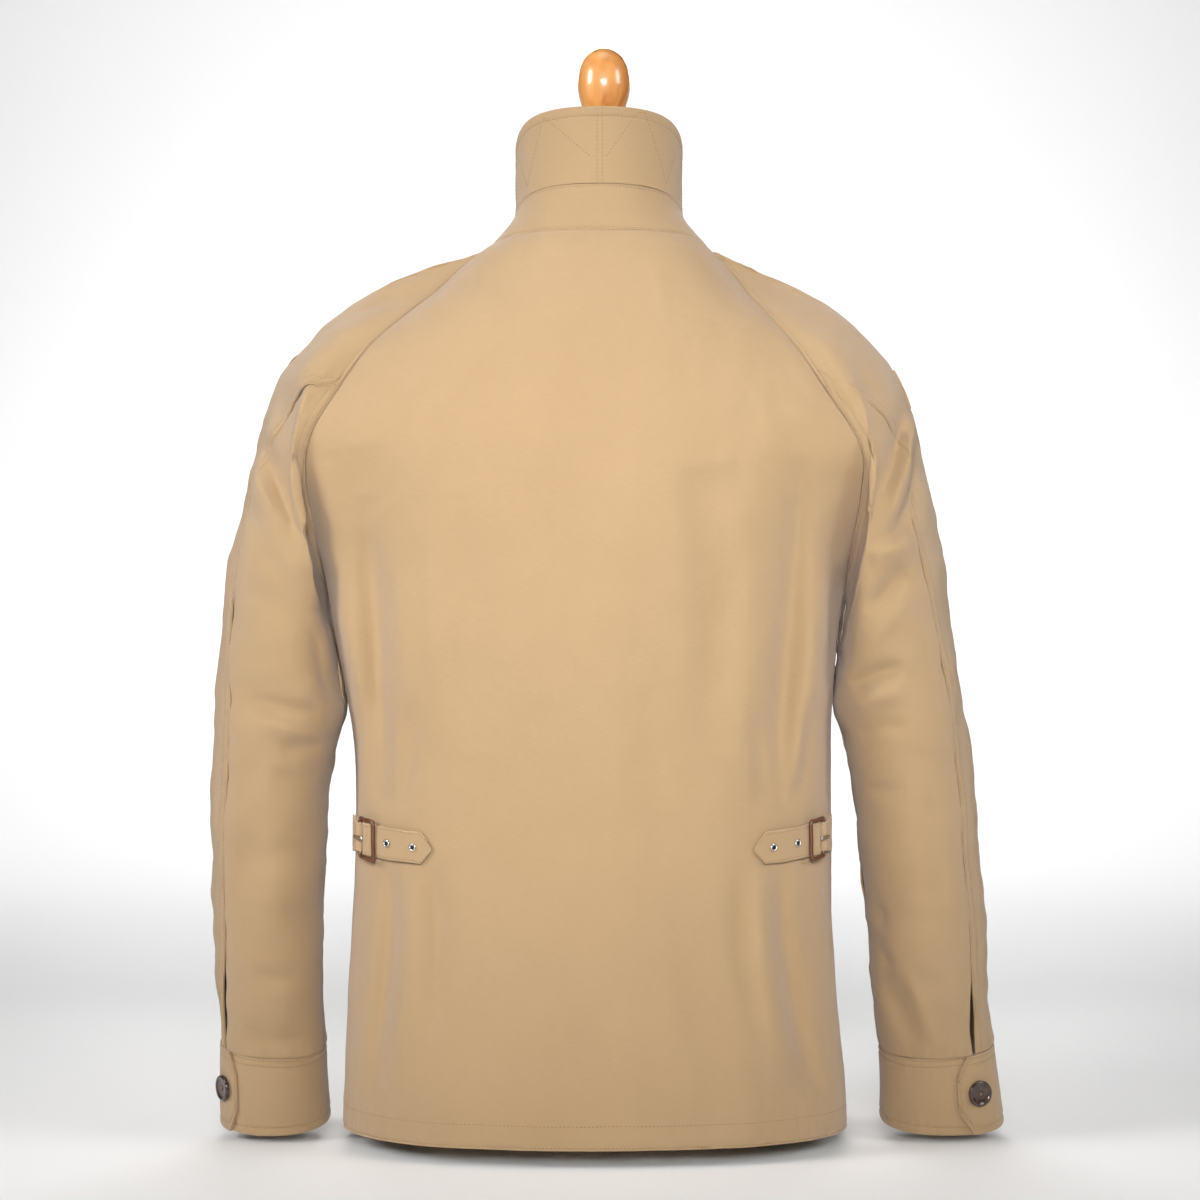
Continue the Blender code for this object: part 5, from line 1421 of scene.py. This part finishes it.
# Dress form. Its rings are measured like the body's.
FORM = Table(("height", "lift", "width", "back", "front"), [
    (9, 0, 148, 96, 92), (60, 0, 160, 105, 98), (120, 0, 161, 107, 100), (190, 0, 155, 103, 97),
    (240, 0, 153, 101, 96), (300, 0, 157, 104, 101), (370, 0, 165, 110, 107),
    (430, 0, 171, 114, 110), (490, 1, 175, 114, 108), (528, 3, 176, 109, 102),
    (560, 6, 174, 97, 92), (590, 9, 166, 83, 78), (613, 13, 149, 68, 62), (632.3, 16, 128, 57, 52),
    (647.5, 17, 101, 50.5, 48.3), (661.2, 16, 75, 48, 47), (680, 12, 59, 47, 48), (700, 6, 54, 47, 48),
    (725, 0, 53, 47, 48), (736, 0, 53, 47, 48)])
FORM_CENTRE = -1.0
CAP_PROFILE = ((0, 49.5), (3, 51), (7, 50), (9, 46.5))
CAP_START = 736.3
FINIAL_START = 745.6
FINIAL_CENTRE = 3.0
FINIAL_PROFILE = (
    (0, 17), (4, 18), (10, 12), (15, 9.5), (22, 10.5), (30, 14.2), (38.5, 17.7), (46, 19.6), (53.5, 20.4),
    (62, 19.5), (69, 17.6), (75.3, 13.9), (79.5, 8.5), (81.4, 3))
BASE_WIDTH = 125.0
BASE_DEPTH = 66.0
BASE_FORWARD = 18.0
BASE_PROFILE = ((0, 0.975), (1.8, 1.0), (17, 1.0), (20.4, 0.985), (21.6, 0.95))


class Waist:
    """Places over the back panel near one adjuster."""

    def __init__(self, side: int, back: Sheet, rows: np.ndarray, share: np.ndarray) -> None:
        self.side = side
        self.back = back
        self.rows = rows
        self.share = share
        row = BODY_SURFACE.row_at(ADJUSTER_HEIGHT)
        self.angles = np.linspace(0, 90, 200)
        length = lengths(BODY_SURFACE.point(row, side * self.angles), 0)
        self.lengths = length - np.interp(BUCKLE_ANGLE, self.angles, length)

    def at(self, run: np.ndarray, across: np.ndarray, lift: np.ndarray) -> np.ndarray:
        """Points over the back.

        Args:
            run: Distance round the waist from the buckle's front bar, towards the side.
            across: Height above the strap's middle.
            lift: Distance off the back.
        """
        values = (np.asarray(value, float) for value in (run, across, lift))
        run, across, lift = np.broadcast_arrays(*values)
        height = ADJUSTER_HEIGHT + across + ADJUSTER_SLOPE * run
        row = np.interp(BODY_SURFACE.row_at(height), self.rows, np.arange(len(self.rows)))
        angle = np.interp(run, self.lengths, self.angles)
        column = np.interp(self.side * angle / 90, self.share, np.arange(len(self.share)))
        return self.back.at(row, column, lift)


class Adjuster:
    """One waist adjuster: a strap through a buckle that a side tab holds."""

    STRAP_STEPS = 150
    WIDTH_STEPS = 20

    def __init__(self, waist: Waist, finishes: Finishes) -> None:
        self.waist = waist
        self.finishes = finishes
        self.name = SIDE_NAMES[waist.side]

    def build(self, sewing: Stitching) -> None:
        """Make every piece of the adjuster."""
        self._strap(sewing)
        self._tab(sewing)
        self._buckle()
        self._prong()
        self._eyelets()

    def _band(self, path: Table, place: np.ndarray, widths: np.ndarray, thickness: float,
              rounding: float) -> tuple[np.ndarray, np.ndarray, np.ndarray, np.ndarray]:
        """Outer and inner points and cloth coordinates of a strip along a path."""
        run, lift = path.at("run", place), path.at("lift", place)
        turn = unit(np.stack([-np.gradient(lift), np.gradient(run)], -1)) * thickness / 2
        share = spaced(-1, 1, self.WIDTH_STEPS, 24, True, True)
        near = np.minimum(1 - np.abs(share), 1) * 12
        soft = 1 - rounding * np.clip(1 - near / 0.9, 0, 1) ** 2
        dip = -0.22 * np.exp(-((near - 2.0) / 0.5) ** 2)
        across = np.asarray(widths)[:, None] * share
        outer = self.waist.at((run + turn[:, 0])[:, None] * np.ones(share.shape), across,
                              lift[:, None] + turn[:, 1, None] * soft + dip * np.sign(turn[:, 1, None]))
        inner = self.waist.at((run - turn[:, 0])[:, None] * np.ones(share.shape), across,
                              lift[:, None] - turn[:, 1, None] * soft)
        return outer, inner, lengths(outer, 1), lengths(outer, 0)

    def _strap(self, sewing: Stitching) -> None:
        """The strap, sewn to the back, rolled inside the buckle and ending in a point."""
        place = np.linspace(0, STRAP_PATH.last, self.STRAP_STEPS)
        from_tip = STRAP_PATH.at("run", place) - STRAP_PATH.at("run", STRAP_PATH.last)
        tip = np.clip(from_tip / TIP_LENGTH, 0, 1)
        tapered = 0.1 + 0.9 * tip ** 0.9
        widths = STRAP_HALF_WIDTH * np.where(place > STRAP_TURN_ROW, tapered, 1)
        outer, inner, across, along = self._band(STRAP_PATH, place, widths, STRAP_CLOTH, 0.7)
        item = cloth_piece("waist_strap_" + self.name, "adjuster_strap_" + self.name, outer, inner,
                           across, along, self.finishes.cotton())
        CUTS["strap"].declare(item, "folded", "back_panel")
        upper = place > STRAP_TURN_ROW + 0.5
        for share in (-0.83, 0.83):
            course = self.waist.at(STRAP_PATH.at("run", place[upper]), widths[upper] * share,
                                   STRAP_PATH.at("lift", place[upper]) + STRAP_CLOTH / 2)
            sewing.run(course, sheet_side(course))

    def _tab(self, sewing: Stitching) -> None:
        """The side tab, folded round the buckle's back bar and sewn down."""
        place = np.linspace(0, TAB_PATH.last, 120)
        run = TAB_PATH.at("run", place)
        widths = np.interp(run, [24, 42], [10.8, 14.0])
        outer, inner, across, along = self._band(TAB_PATH, place, widths, TAB_CLOTH, 0.7)
        item = cloth_piece("side_tab_" + self.name, "adjuster_tab_" + self.name, outer, inner,
                           across, along, self.finishes.cotton())
        CUTS["tab"].declare(item, "folded", "back_panel")
        for seam_run in (29.5, 39.0):
            lift = np.interp(seam_run, run[60:], TAB_PATH.at("lift", place[60:]))
            course = self.waist.at(np.full(24, seam_run), np.linspace(-9.5, 9.5, 24),
                                   np.full(24, lift + TAB_CLOTH / 2))
            sewing.run(course, sheet_side(course))

    def _buckle(self) -> None:
        """The leather-covered frame, its front bar over the strap and its back bar in the tab."""
        turn = full_turn(96)
        share = (1 - np.clip(1.35 * np.cos(turn), -1, 1)) / 2
        run = BUCKLE_LENGTH * share
        across = BUCKLE_HALF_WIDTH * np.clip(1.35 * np.sin(turn), -1, 1)
        lift = BUCKLE_FRONT_LIFT + (BUCKLE_BACK_LIFT - BUCKLE_FRONT_LIFT) * share
        radius = BUCKLE_RADIUS + (BUCKLE_BACK_RADIUS - BUCKLE_RADIUS) * share
        centres = self.waist.at(run, across, lift)
        smooth = (np.roll(centres, 1, 0) + 2 * centres + np.roll(centres, -1, 0)) / 4
        tube_piece("buckle_frame_" + self.name, [wire_rings(smooth, radius, 14)], self.finishes.leather(),
                   80, "buckle_" + self.name, closed=True)

    def _prong(self) -> None:
        """The prong's rounded metal tongue."""
        place = np.linspace(0, PRONG_PATH.last, 48)
        run, lift = PRONG_PATH.at("run", place), PRONG_PATH.at("lift", place)
        ends = np.minimum(place, PRONG_PATH.last - place) / 0.35
        radius = PRONG_HALF_WIDTH * np.sqrt(np.clip(1 - (1 - np.clip(ends, 0, 1)) ** 2, 0.02, 1))
        flat = PRONG_THICKNESS / 2 / PRONG_HALF_WIDTH
        turn = full_turn(16)
        across = radius[:, None] * np.cos(turn)
        height = lift[:, None] + radius[:, None] * flat * np.sin(turn)
        rings = self.waist.at(run[:, None] * np.ones(turn.shape), across, height)
        tube_piece("buckle_prong_" + self.name, [rings], self.finishes.metal(), 80, "prong_" + self.name)

    def _eyelets(self) -> None:
        """The metal rings in the strap's free end, each with a dark hole."""
        upper = np.linspace(STRAP_TURN_ROW, STRAP_PATH.last, 60)
        runs = STRAP_PATH.at("run", upper)[::-1]
        lifts = STRAP_PATH.at("lift", upper)[::-1]
        turn = full_turn(36)
        for number, run in enumerate(EYELET_RUNS, 1):
            lift = np.interp(run, runs, lifts) + STRAP_CLOTH / 2 + SEAM + EYELET_WIRE
            centres = self.waist.at(run + EYELET_RADIUS * np.cos(turn), EYELET_RADIUS * np.sin(turn), lift)
            rings = wire_rings(centres, np.full(len(turn), EYELET_WIRE * 1.15), 10)
            tube_piece(f"eyelet_ring_{self.name}_{number}", [rings], self.finishes.metal(), 80,
                       f"eyelet_{self.name}_{number}", closed=True)
            radius = EYELET_RADIUS * 0.85
            x, h = run + radius * np.cos(turn), radius * np.sin(turn)
            hole = np.stack([self.waist.at(x, h, lift - EYELET_WIRE * fall) for fall in (0.7, 1.0)])
            tube_piece(f"eyelet_hole_{self.name}_{number}", [hole], self.finishes.dark(), 40)


def sheet_side(course: np.ndarray) -> np.ndarray:
    """Outward directions along a course over the back."""
    across = course - np.array([BODY_SURFACE.point(4.0, 0.0)[0], 0, 0])
    across[:, 2] = 0
    return unit(across)


def wire_rings(centres: np.ndarray, radii: np.ndarray, sides: int) -> np.ndarray:
    """Rings of a round wire that runs through centres and closes."""
    middle = centres.mean(0)
    ahead = unit(np.roll(centres, -1, 0) - np.roll(centres, 1, 0))
    flat = unit(np.cross(centres[0] - middle, centres[len(centres) // 4] - middle))
    out = unit(np.cross(ahead, flat))
    up = np.cross(out, ahead)
    turn = full_turn(sides)
    return (centres[:, None] + radii[:, None, None]
            * (out[:, None] * np.cos(turn)[:, None] + up[:, None] * np.sin(turn)[:, None]))


def tube_of(bm: Mesh, rings: np.ndarray, closed: bool) -> None:
    """A skin over rings of points.

    Args:
        bm: The mesh to add to.
        rings: Points of each ring, in millimetres.
        closed: Whether the last ring meets the first; the ends are capped if not.
    """
    loops = [[bm.verts.new(Vector(place)) for place in ring] for ring in world(rings)]
    pairs = list(zip(loops, loops[1:]))
    if closed:
        pairs.append((loops[-1], loops[0]))
    for low, high in pairs:
        for index, vertex in enumerate(low):
            after = (index + 1) % len(low)
            bm.faces.new((vertex, low[after], high[after], high[index]))
    if not closed:
        bm.faces.new(loops[0][::-1])
        bm.faces.new(loops[-1])


def tube_piece(name: str, tubes: list[np.ndarray], material: Material, smooth_angle: float,
               node: str = "", closed: bool = False) -> None:
    """One piece of skins over rings, which may take a solid's place."""
    bm = bmesh.new()
    for rings in tubes:
        tube_of(bm, rings, closed)
    item = place_mesh(name, bm, material, smooth_angle)
    if node:
        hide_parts(node)


def turned_rings(profile: np.ndarray, sides: int) -> np.ndarray:
    """Rings of a turned piece from rows of height and radius."""
    turn = full_turn(sides)
    height, radius = profile[:, 0, None], profile[:, 1, None]
    return np.stack([radius * np.sin(turn), -radius * np.cos(turn), height * np.ones(sides)], -1)


def smooth_profile(profile: Profile, steps: int) -> np.ndarray:
    """A profile's rows, run through by a smooth curve."""
    table = Table(("height", "radius"), list(profile))
    place = np.linspace(0, table.last, steps)
    return np.stack([table.at("height", place), np.maximum(table.at("radius", place), 0.05)], -1)


class Button:
    """A dark horn button with a rim, a dished middle and four thread holes."""

    PROFILE = (
        (0.0, 9.4), (0.4, 10.0), (1.6, 10.1), (2.6, 9.7), (3.0, 8.9), (2.9, 8.0), (2.35, 7.0), (2.0, 5.2),
        (1.9, 3.0), (1.9, 0.3))
    HOLE_PLACE = 1.75
    HOLE_RADIUS = 0.85
    THREAD_PATH = ((-1.5, -0.2), (-0.9, 0.45), (0, 0.62), (0.9, 0.45), (1.5, -0.2))
    THREAD_RADIUS = 0.3

    def __init__(self, cuff: Sheet, around: np.ndarray, side: int, finishes: Finishes) -> None:
        self.cuff = cuff
        self.around = around
        self.name = SIDE_NAMES[side]
        self.finishes = finishes

    def build(self) -> None:
        """Make the button where the cuff's end laps over."""
        column = np.interp(BUTTON_ANGLE, self.around, np.arange(len(self.around)))
        middle = (self.cuff.points.shape[0] - 1) / 2
        base = self.cuff.at(middle, column, SEAM)
        out = unit(self.cuff.at(middle, column, 6.0) - base)
        turn = Vector(out).to_track_quat("Z", "Y").to_matrix()
        axes = np.array([turn.col[0][:], turn.col[1][:], turn.col[2][:]])
        rings = turned_rings(smooth_profile(self.PROFILE, 40), 64)
        tube_piece("cuff_button_" + self.name, [base + rings @ axes], self.finishes.horn(), 60,
                   "button_" + self.name)
        tubes = []
        for index in range(4):
            angle = math.pi / 4 + index * math.pi / 2
            centre = np.array([math.cos(angle), math.sin(angle), 0]) * self.HOLE_PLACE
            rings = turned_rings(np.array([(1.6, self.HOLE_RADIUS), (1.98, self.HOLE_RADIUS)]), 14) + centre
            tubes.append(base + rings @ axes)
        tube_piece("button_holes_" + self.name, tubes, self.finishes.dark(), 40)
        tubes = []
        path = np.array(self.THREAD_PATH)
        turn = full_turn(8)
        ring = self.THREAD_RADIUS * np.stack([np.zeros(8), np.cos(turn), np.sin(turn)], -1)
        for shift in (-0.55, 0.55):
            for sign in (-1, 1):
                spin = np.array([[0.7071, 0.7071 * sign, 0], [-0.7071 * sign, 0.7071, 0], [0, 0, 1]])
                flat = path[:, :1] * spin[0] + spin[1] * shift * 0.45
                flat[:, 2] = 2.0 + path[:, 1]
                tubes.append(base + (flat[:, None] + ring @ spin) @ axes)
        tube_piece("button_thread_" + self.name, tubes, self.finishes.thread_with_painted_shade(), 80)


class Zip:
    """The front zip: two rows of teeth on their tape. The slider and its pull stay as solids."""

    TOOTH_PITCH = 2.6
    TOOTH_SIZE = (3.4, 1.5, 1.9)

    def __init__(self, rows: np.ndarray, finishes: Finishes) -> None:
        self.rows = rows
        self.finishes = finishes

    def _strip(self, half_width: float, columns: int, lift: float) -> Sheet:
        """A smooth strip down the centre front."""
        offsets = np.linspace(-1, 1, columns) * half_width
        away = np.stack([180 - BODY_SURFACE.front_edge_angle(self.rows, abs(x)) if x else 0 * self.rows
                         for x in offsets], 1)
        angles = 180 - np.sign(offsets) * away
        return Sheet(BODY_SURFACE, self.rows, angles, {"top": Border(gap=SEAM / 2)}, lift=lift)

    def build(self) -> None:
        """Make the tape and the teeth."""
        sheet = self._strip(TAPE_HALF_WIDTH, 29, -(CLOTH + TAPE_GAP))
        item = cloth_piece("zip_tape_band", "zip_tape", sheet.points,
                           sheet.points - sheet.normals * TAPE_CLOTH, sheet.across, sheet.along,
                           self.finishes.cotton("zip_tape_cloth", 0.72))
        CUTS["tape"].declare(item, "hung", "front_panel_left", "front_panel_right")
        course = self._strip(CHAIN_HALF_WIDTH, 3, CHAIN_PROUD)
        points, normals = course.points[:, 1], course.normals[:, 1]
        length = lengths(points, 0)
        at = np.arange(3.0, length[-1] - 6.0, self.TOOTH_PITCH / 2)
        bm = bmesh.new()
        for index, run in enumerate(at):
            place = course_at(run, length, points)
            up = unit(course_at(run, length, normals))
            ahead = unit(course_at(run + 1, length, points) - place)
            side = np.cross(ahead, up)
            centre = world(place - up * self.TOOTH_SIZE[2] / 2 + side * (0.85 if index % 2 else -0.85))
            frame = Matrix((Vector(side), Vector(ahead), Vector(up))).transposed().to_4x4()
            size = Matrix.Diagonal([part * MM for part in self.TOOTH_SIZE] + [1])
            bmesh.ops.create_cube(bm, size=1, matrix=Matrix.Translation(Vector(centre)) @ frame @ size)
        bmesh.ops.bevel(bm, geom=list(bm.edges), affect="EDGES", offset=0.25 * MM, segments=1, profile=0.5,
                        material=-1)
        item = place_mesh("zip_teeth", bm, self.finishes.metal(), 40)
        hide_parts("zip_chain")


class DressForm:
    """The limbless form: torso, neck cap, finial and base."""

    SIDES = 88
    TORSO_ROWS = 100

    def __init__(self, finishes: Finishes) -> None:
        self.finishes = finishes

    def build(self) -> None:
        """Make the form's four pieces."""
        turn = full_turn(self.SIDES)
        rings = []
        for row in np.linspace(0, FORM.last, self.TORSO_ROWS):
            depth = np.where(np.cos(turn) > 0, FORM.at("back", row), FORM.at("front", row))
            rings.append(np.stack([
                FORM_CENTRE + FORM.at("width", row) * rounded(np.sin(turn)),
                -depth * rounded(np.cos(turn)),
                FORM.at("height", row) + FORM.at("lift", row) * np.cos(turn)], -1))
        tube_piece("dress_form_torso", [np.array(rings)], self.finishes.linen(), 40, "form_torso")
        self._turned("neck_cap", "form_neck_cap", CAP_PROFILE, CAP_START, FINIAL_CENTRE - 2, 24)
        self._turned("finial", "form_finial", FINIAL_PROFILE, FINIAL_START, FINIAL_CENTRE, 90)
        base = []
        for height, share in smooth_profile(BASE_PROFILE, 24):
            base.append(np.stack([
                BASE_WIDTH * share * rounded(np.sin(turn)),
                BASE_FORWARD - BASE_DEPTH * share * rounded(np.cos(turn)),
                np.full(len(turn), height - HEM_CLEARANCE)], -1))
        tube_piece("stand_base", [np.array(base)], self.finishes.wood(), 40, "form_base")

    def _turned(self, name: str, node: str, profile: Profile, start: float,
                centre: float, steps: int) -> None:
        """A turned wooden piece."""
        rings = turned_rings(smooth_profile(profile, steps), 72) + np.array([centre, 0, start])
        tube_piece(name, [rings], self.finishes.wood(), 40, node)


@dataclass(frozen=True)
class Lamp:
    """A soft light: where it stands, where it points, its size in metres and its power."""

    name: str
    place: tuple[float, float, float]
    aim: tuple[float, float, float]
    size: tuple[float, float]
    power: float
    spread: float = 180.0
    colour: tuple[float, float, float] = (1.0, 1.0, 1.0)


class Studio:
    """The pale floor, the soft lights and the camera."""

    LAMPS = (
        Lamp("body_light", (0.0, -2.3, 0.95), (0.0, 0.0, 0.47), (0.9, 0.7), 4.4, 36.0),
        Lamp("left_light", (-2.1, -1.0, 1.4), (0.0, 0.0, 0.60), (0.8, 1.0), 8.5, 80.0),
        Lamp("right_light", (2.1, -1.0, 1.4), (0.0, 0.0, 0.60), (0.8, 1.0), 5.0, 80.0),
        Lamp("top_light", (0.0, -0.3, 2.6), (0.0, 0.0, 0.4), (1.4, 1.0), 5.0, 140.0),
        Lamp("rear_light", (0.0, 2.0, 1.6), (0.0, 0.0, 0.5), (1.6, 1.0), 9.0, 90.0),
        Lamp("backdrop_light", (0.0, 1.3, 2.2), (0.0, 3.4, 0.6), (3.0, 0.6), 50.0, 130.0),
    )
    CAMERA_DISTANCE = 2.4
    CAMERA_HEIGHT = 0.415
    VIEW_WIDTH = 0.924
    SENSOR = 36.0
    FLOOR_END = 2.2
    FLOOR_BEND = 1.5
    FLOOR_REACH = 6.0
    FLOOR_SIDE = 8.0

    def build(self) -> None:
        """Set the stage, the lights and the camera."""
        self._floor()
        for lamp in self.LAMPS:
            self._lamp(lamp)
        self._world()
        self._camera()

    def _floor(self) -> None:
        """A pale floor that curves up into a backdrop."""
        bm = bmesh.new()
        start, bend, reach = self.FLOOR_END, self.FLOOR_BEND, self.FLOOR_REACH
        turns = np.linspace(0.1, math.pi / 2, 14)
        profile = [(-reach, 0.0), (start, 0.0)]
        profile += [(start + bend * math.sin(turn), bend - bend * math.cos(turn)) for turn in turns]
        profile += [(start + bend, reach)]
        rows = [[bm.verts.new((x, y, z)) for x in (-self.FLOOR_SIDE, self.FLOOR_SIDE)] for y, z in profile]
        for low, high in zip(rows, rows[1:]):
            bm.faces.new((low[0], low[1], high[1], high[0]))
        mesh = bpy.data.meshes.new("floor")
        bm.to_mesh(mesh)
        bm.free()
        mesh.shade_smooth()
        material, tree = new_material("pale_floor")
        shader = tree.nodes["Principled BSDF"]
        feed(tree, shader, "Base Color", (0.86, 0.86, 0.86, 1.0))
        feed(tree, shader, "Roughness", 0.9)
        feed(tree, shader, "Specular IOR Level", 0.1)
        mesh.materials.append(material)
        into_scene("floor", mesh)

    @staticmethod
    def _lamp(lamp: Lamp) -> None:
        """An area light."""
        data = bpy.data.lights.new(lamp.name, "AREA")
        data.shape = "RECTANGLE"
        data.size, data.size_y = lamp.size
        data.energy = lamp.power
        data.spread = math.radians(lamp.spread)
        data.color = lamp.colour
        item = into_scene(lamp.name, data)
        item.location = lamp.place
        item.rotation_euler = (Vector(lamp.aim) - Vector(lamp.place)).to_track_quat("-Z", "Y").to_euler()

    @staticmethod
    def _world() -> None:
        """A white room's even light."""
        room = bpy.data.worlds.new("white_room")
        room.use_nodes = True
        shader = room.node_tree.nodes["Background"]
        shader.inputs["Color"].default_value = (1.0, 1.0, 1.0, 1.0)
        shader.inputs["Strength"].default_value = 0.04
        bpy.context.scene.world = room
        bpy.context.scene.view_settings.view_transform = "Standard"

    def _camera(self) -> None:
        """The camera, level with the jacket's middle and straight behind it."""
        data = bpy.data.cameras.new("camera")
        data.sensor_width = self.SENSOR
        data.lens = self.SENSOR * self.CAMERA_DISTANCE / self.VIEW_WIDTH
        data.clip_end = 50.0
        item = into_scene("camera", data)
        item.location = (0.0, -self.CAMERA_DISTANCE, self.CAMERA_HEIGHT)
        item.rotation_euler = (math.pi / 2, 0.0, 0.0)
        bpy.context.scene.camera = item


class Jacket:
    """The whole jacket."""

    def __init__(self, finishes: Finishes) -> None:
        self.finishes = finishes
        self.panels = Panels(finishes)

    def build(self) -> None:
        """Make the panels, the collar, the cuffs, the adjusters and the zip."""
        sewing = Stitching()
        back = self.panels.back(sewing)
        for side in (LEFT, RIGHT):
            share = spaced(-1, 1, Panels.BACK_COLUMNS, 520, True, True)
            Adjuster(Waist(side, back, self.panels.rows, share), self.finishes).build(sewing)
        sewing.piece("sewing_back", self.finishes.thread_with_painted_shade())
        sewing = Stitching()
        for side in (LEFT, RIGHT):
            self.panels.front(side, sewing)
        self.panels.collar(sewing)
        sewing.piece("sewing_front_and_collar", self.finishes.thread_with_painted_shade())
        for side in (LEFT, RIGHT):
            sewing = Stitching()
            self.panels.sleeve(side, sewing)
            cuff = self.panels.cuff(side, sewing)
            around = spaced(CUFF_START, CUFF_END, 176, 300, True, True)
            Button(cuff, around, side, self.finishes).build()
            sewing.piece("sewing_sleeve_" + SIDE_NAMES[side], self.finishes.thread_with_painted_shade())
        Zip(self.panels.rows, self.finishes).build()
        for node in ("zip_slider", "zip_pull"):
            item = bpy.data.objects[node]
            for slot in item.material_slots:
                slot.material = self.finishes.metal()


CUTS = {
    "back": Cut(0.520, 0.720, 0.317),
    "front": Cut(0.280, 0.690, 0.142),
    "sleeve_top": Cut(0.420, 0.800, 0.137),
    "sleeve_under": Cut(0.160, 0.560, 0.059),
    "collar_stand": Cut(0.500, 0.050, 0.0175),
    "collar_leaf": Cut(0.420, 0.080, 0.0213),
    "cuff": Cut(0.310, 0.064, 0.0182),
    "strap": Cut(0.024, 0.130, 0.0026),
    "tab": Cut(0.028, 0.060, 0.0012),
    "tape": Cut(0.028, 0.660, 0.0173),
}


def main() -> None:
    """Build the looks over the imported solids."""
    logging.basicConfig(level=logging.INFO, format="%(message)s")
    for item in list(bpy.data.objects):
        bpy.data.objects.remove(item)
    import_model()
    finishes = Finishes()
    Jacket(finishes).build()
    DressForm(finishes).build()
    Studio().build()


if __name__ == "__main__":
    main()
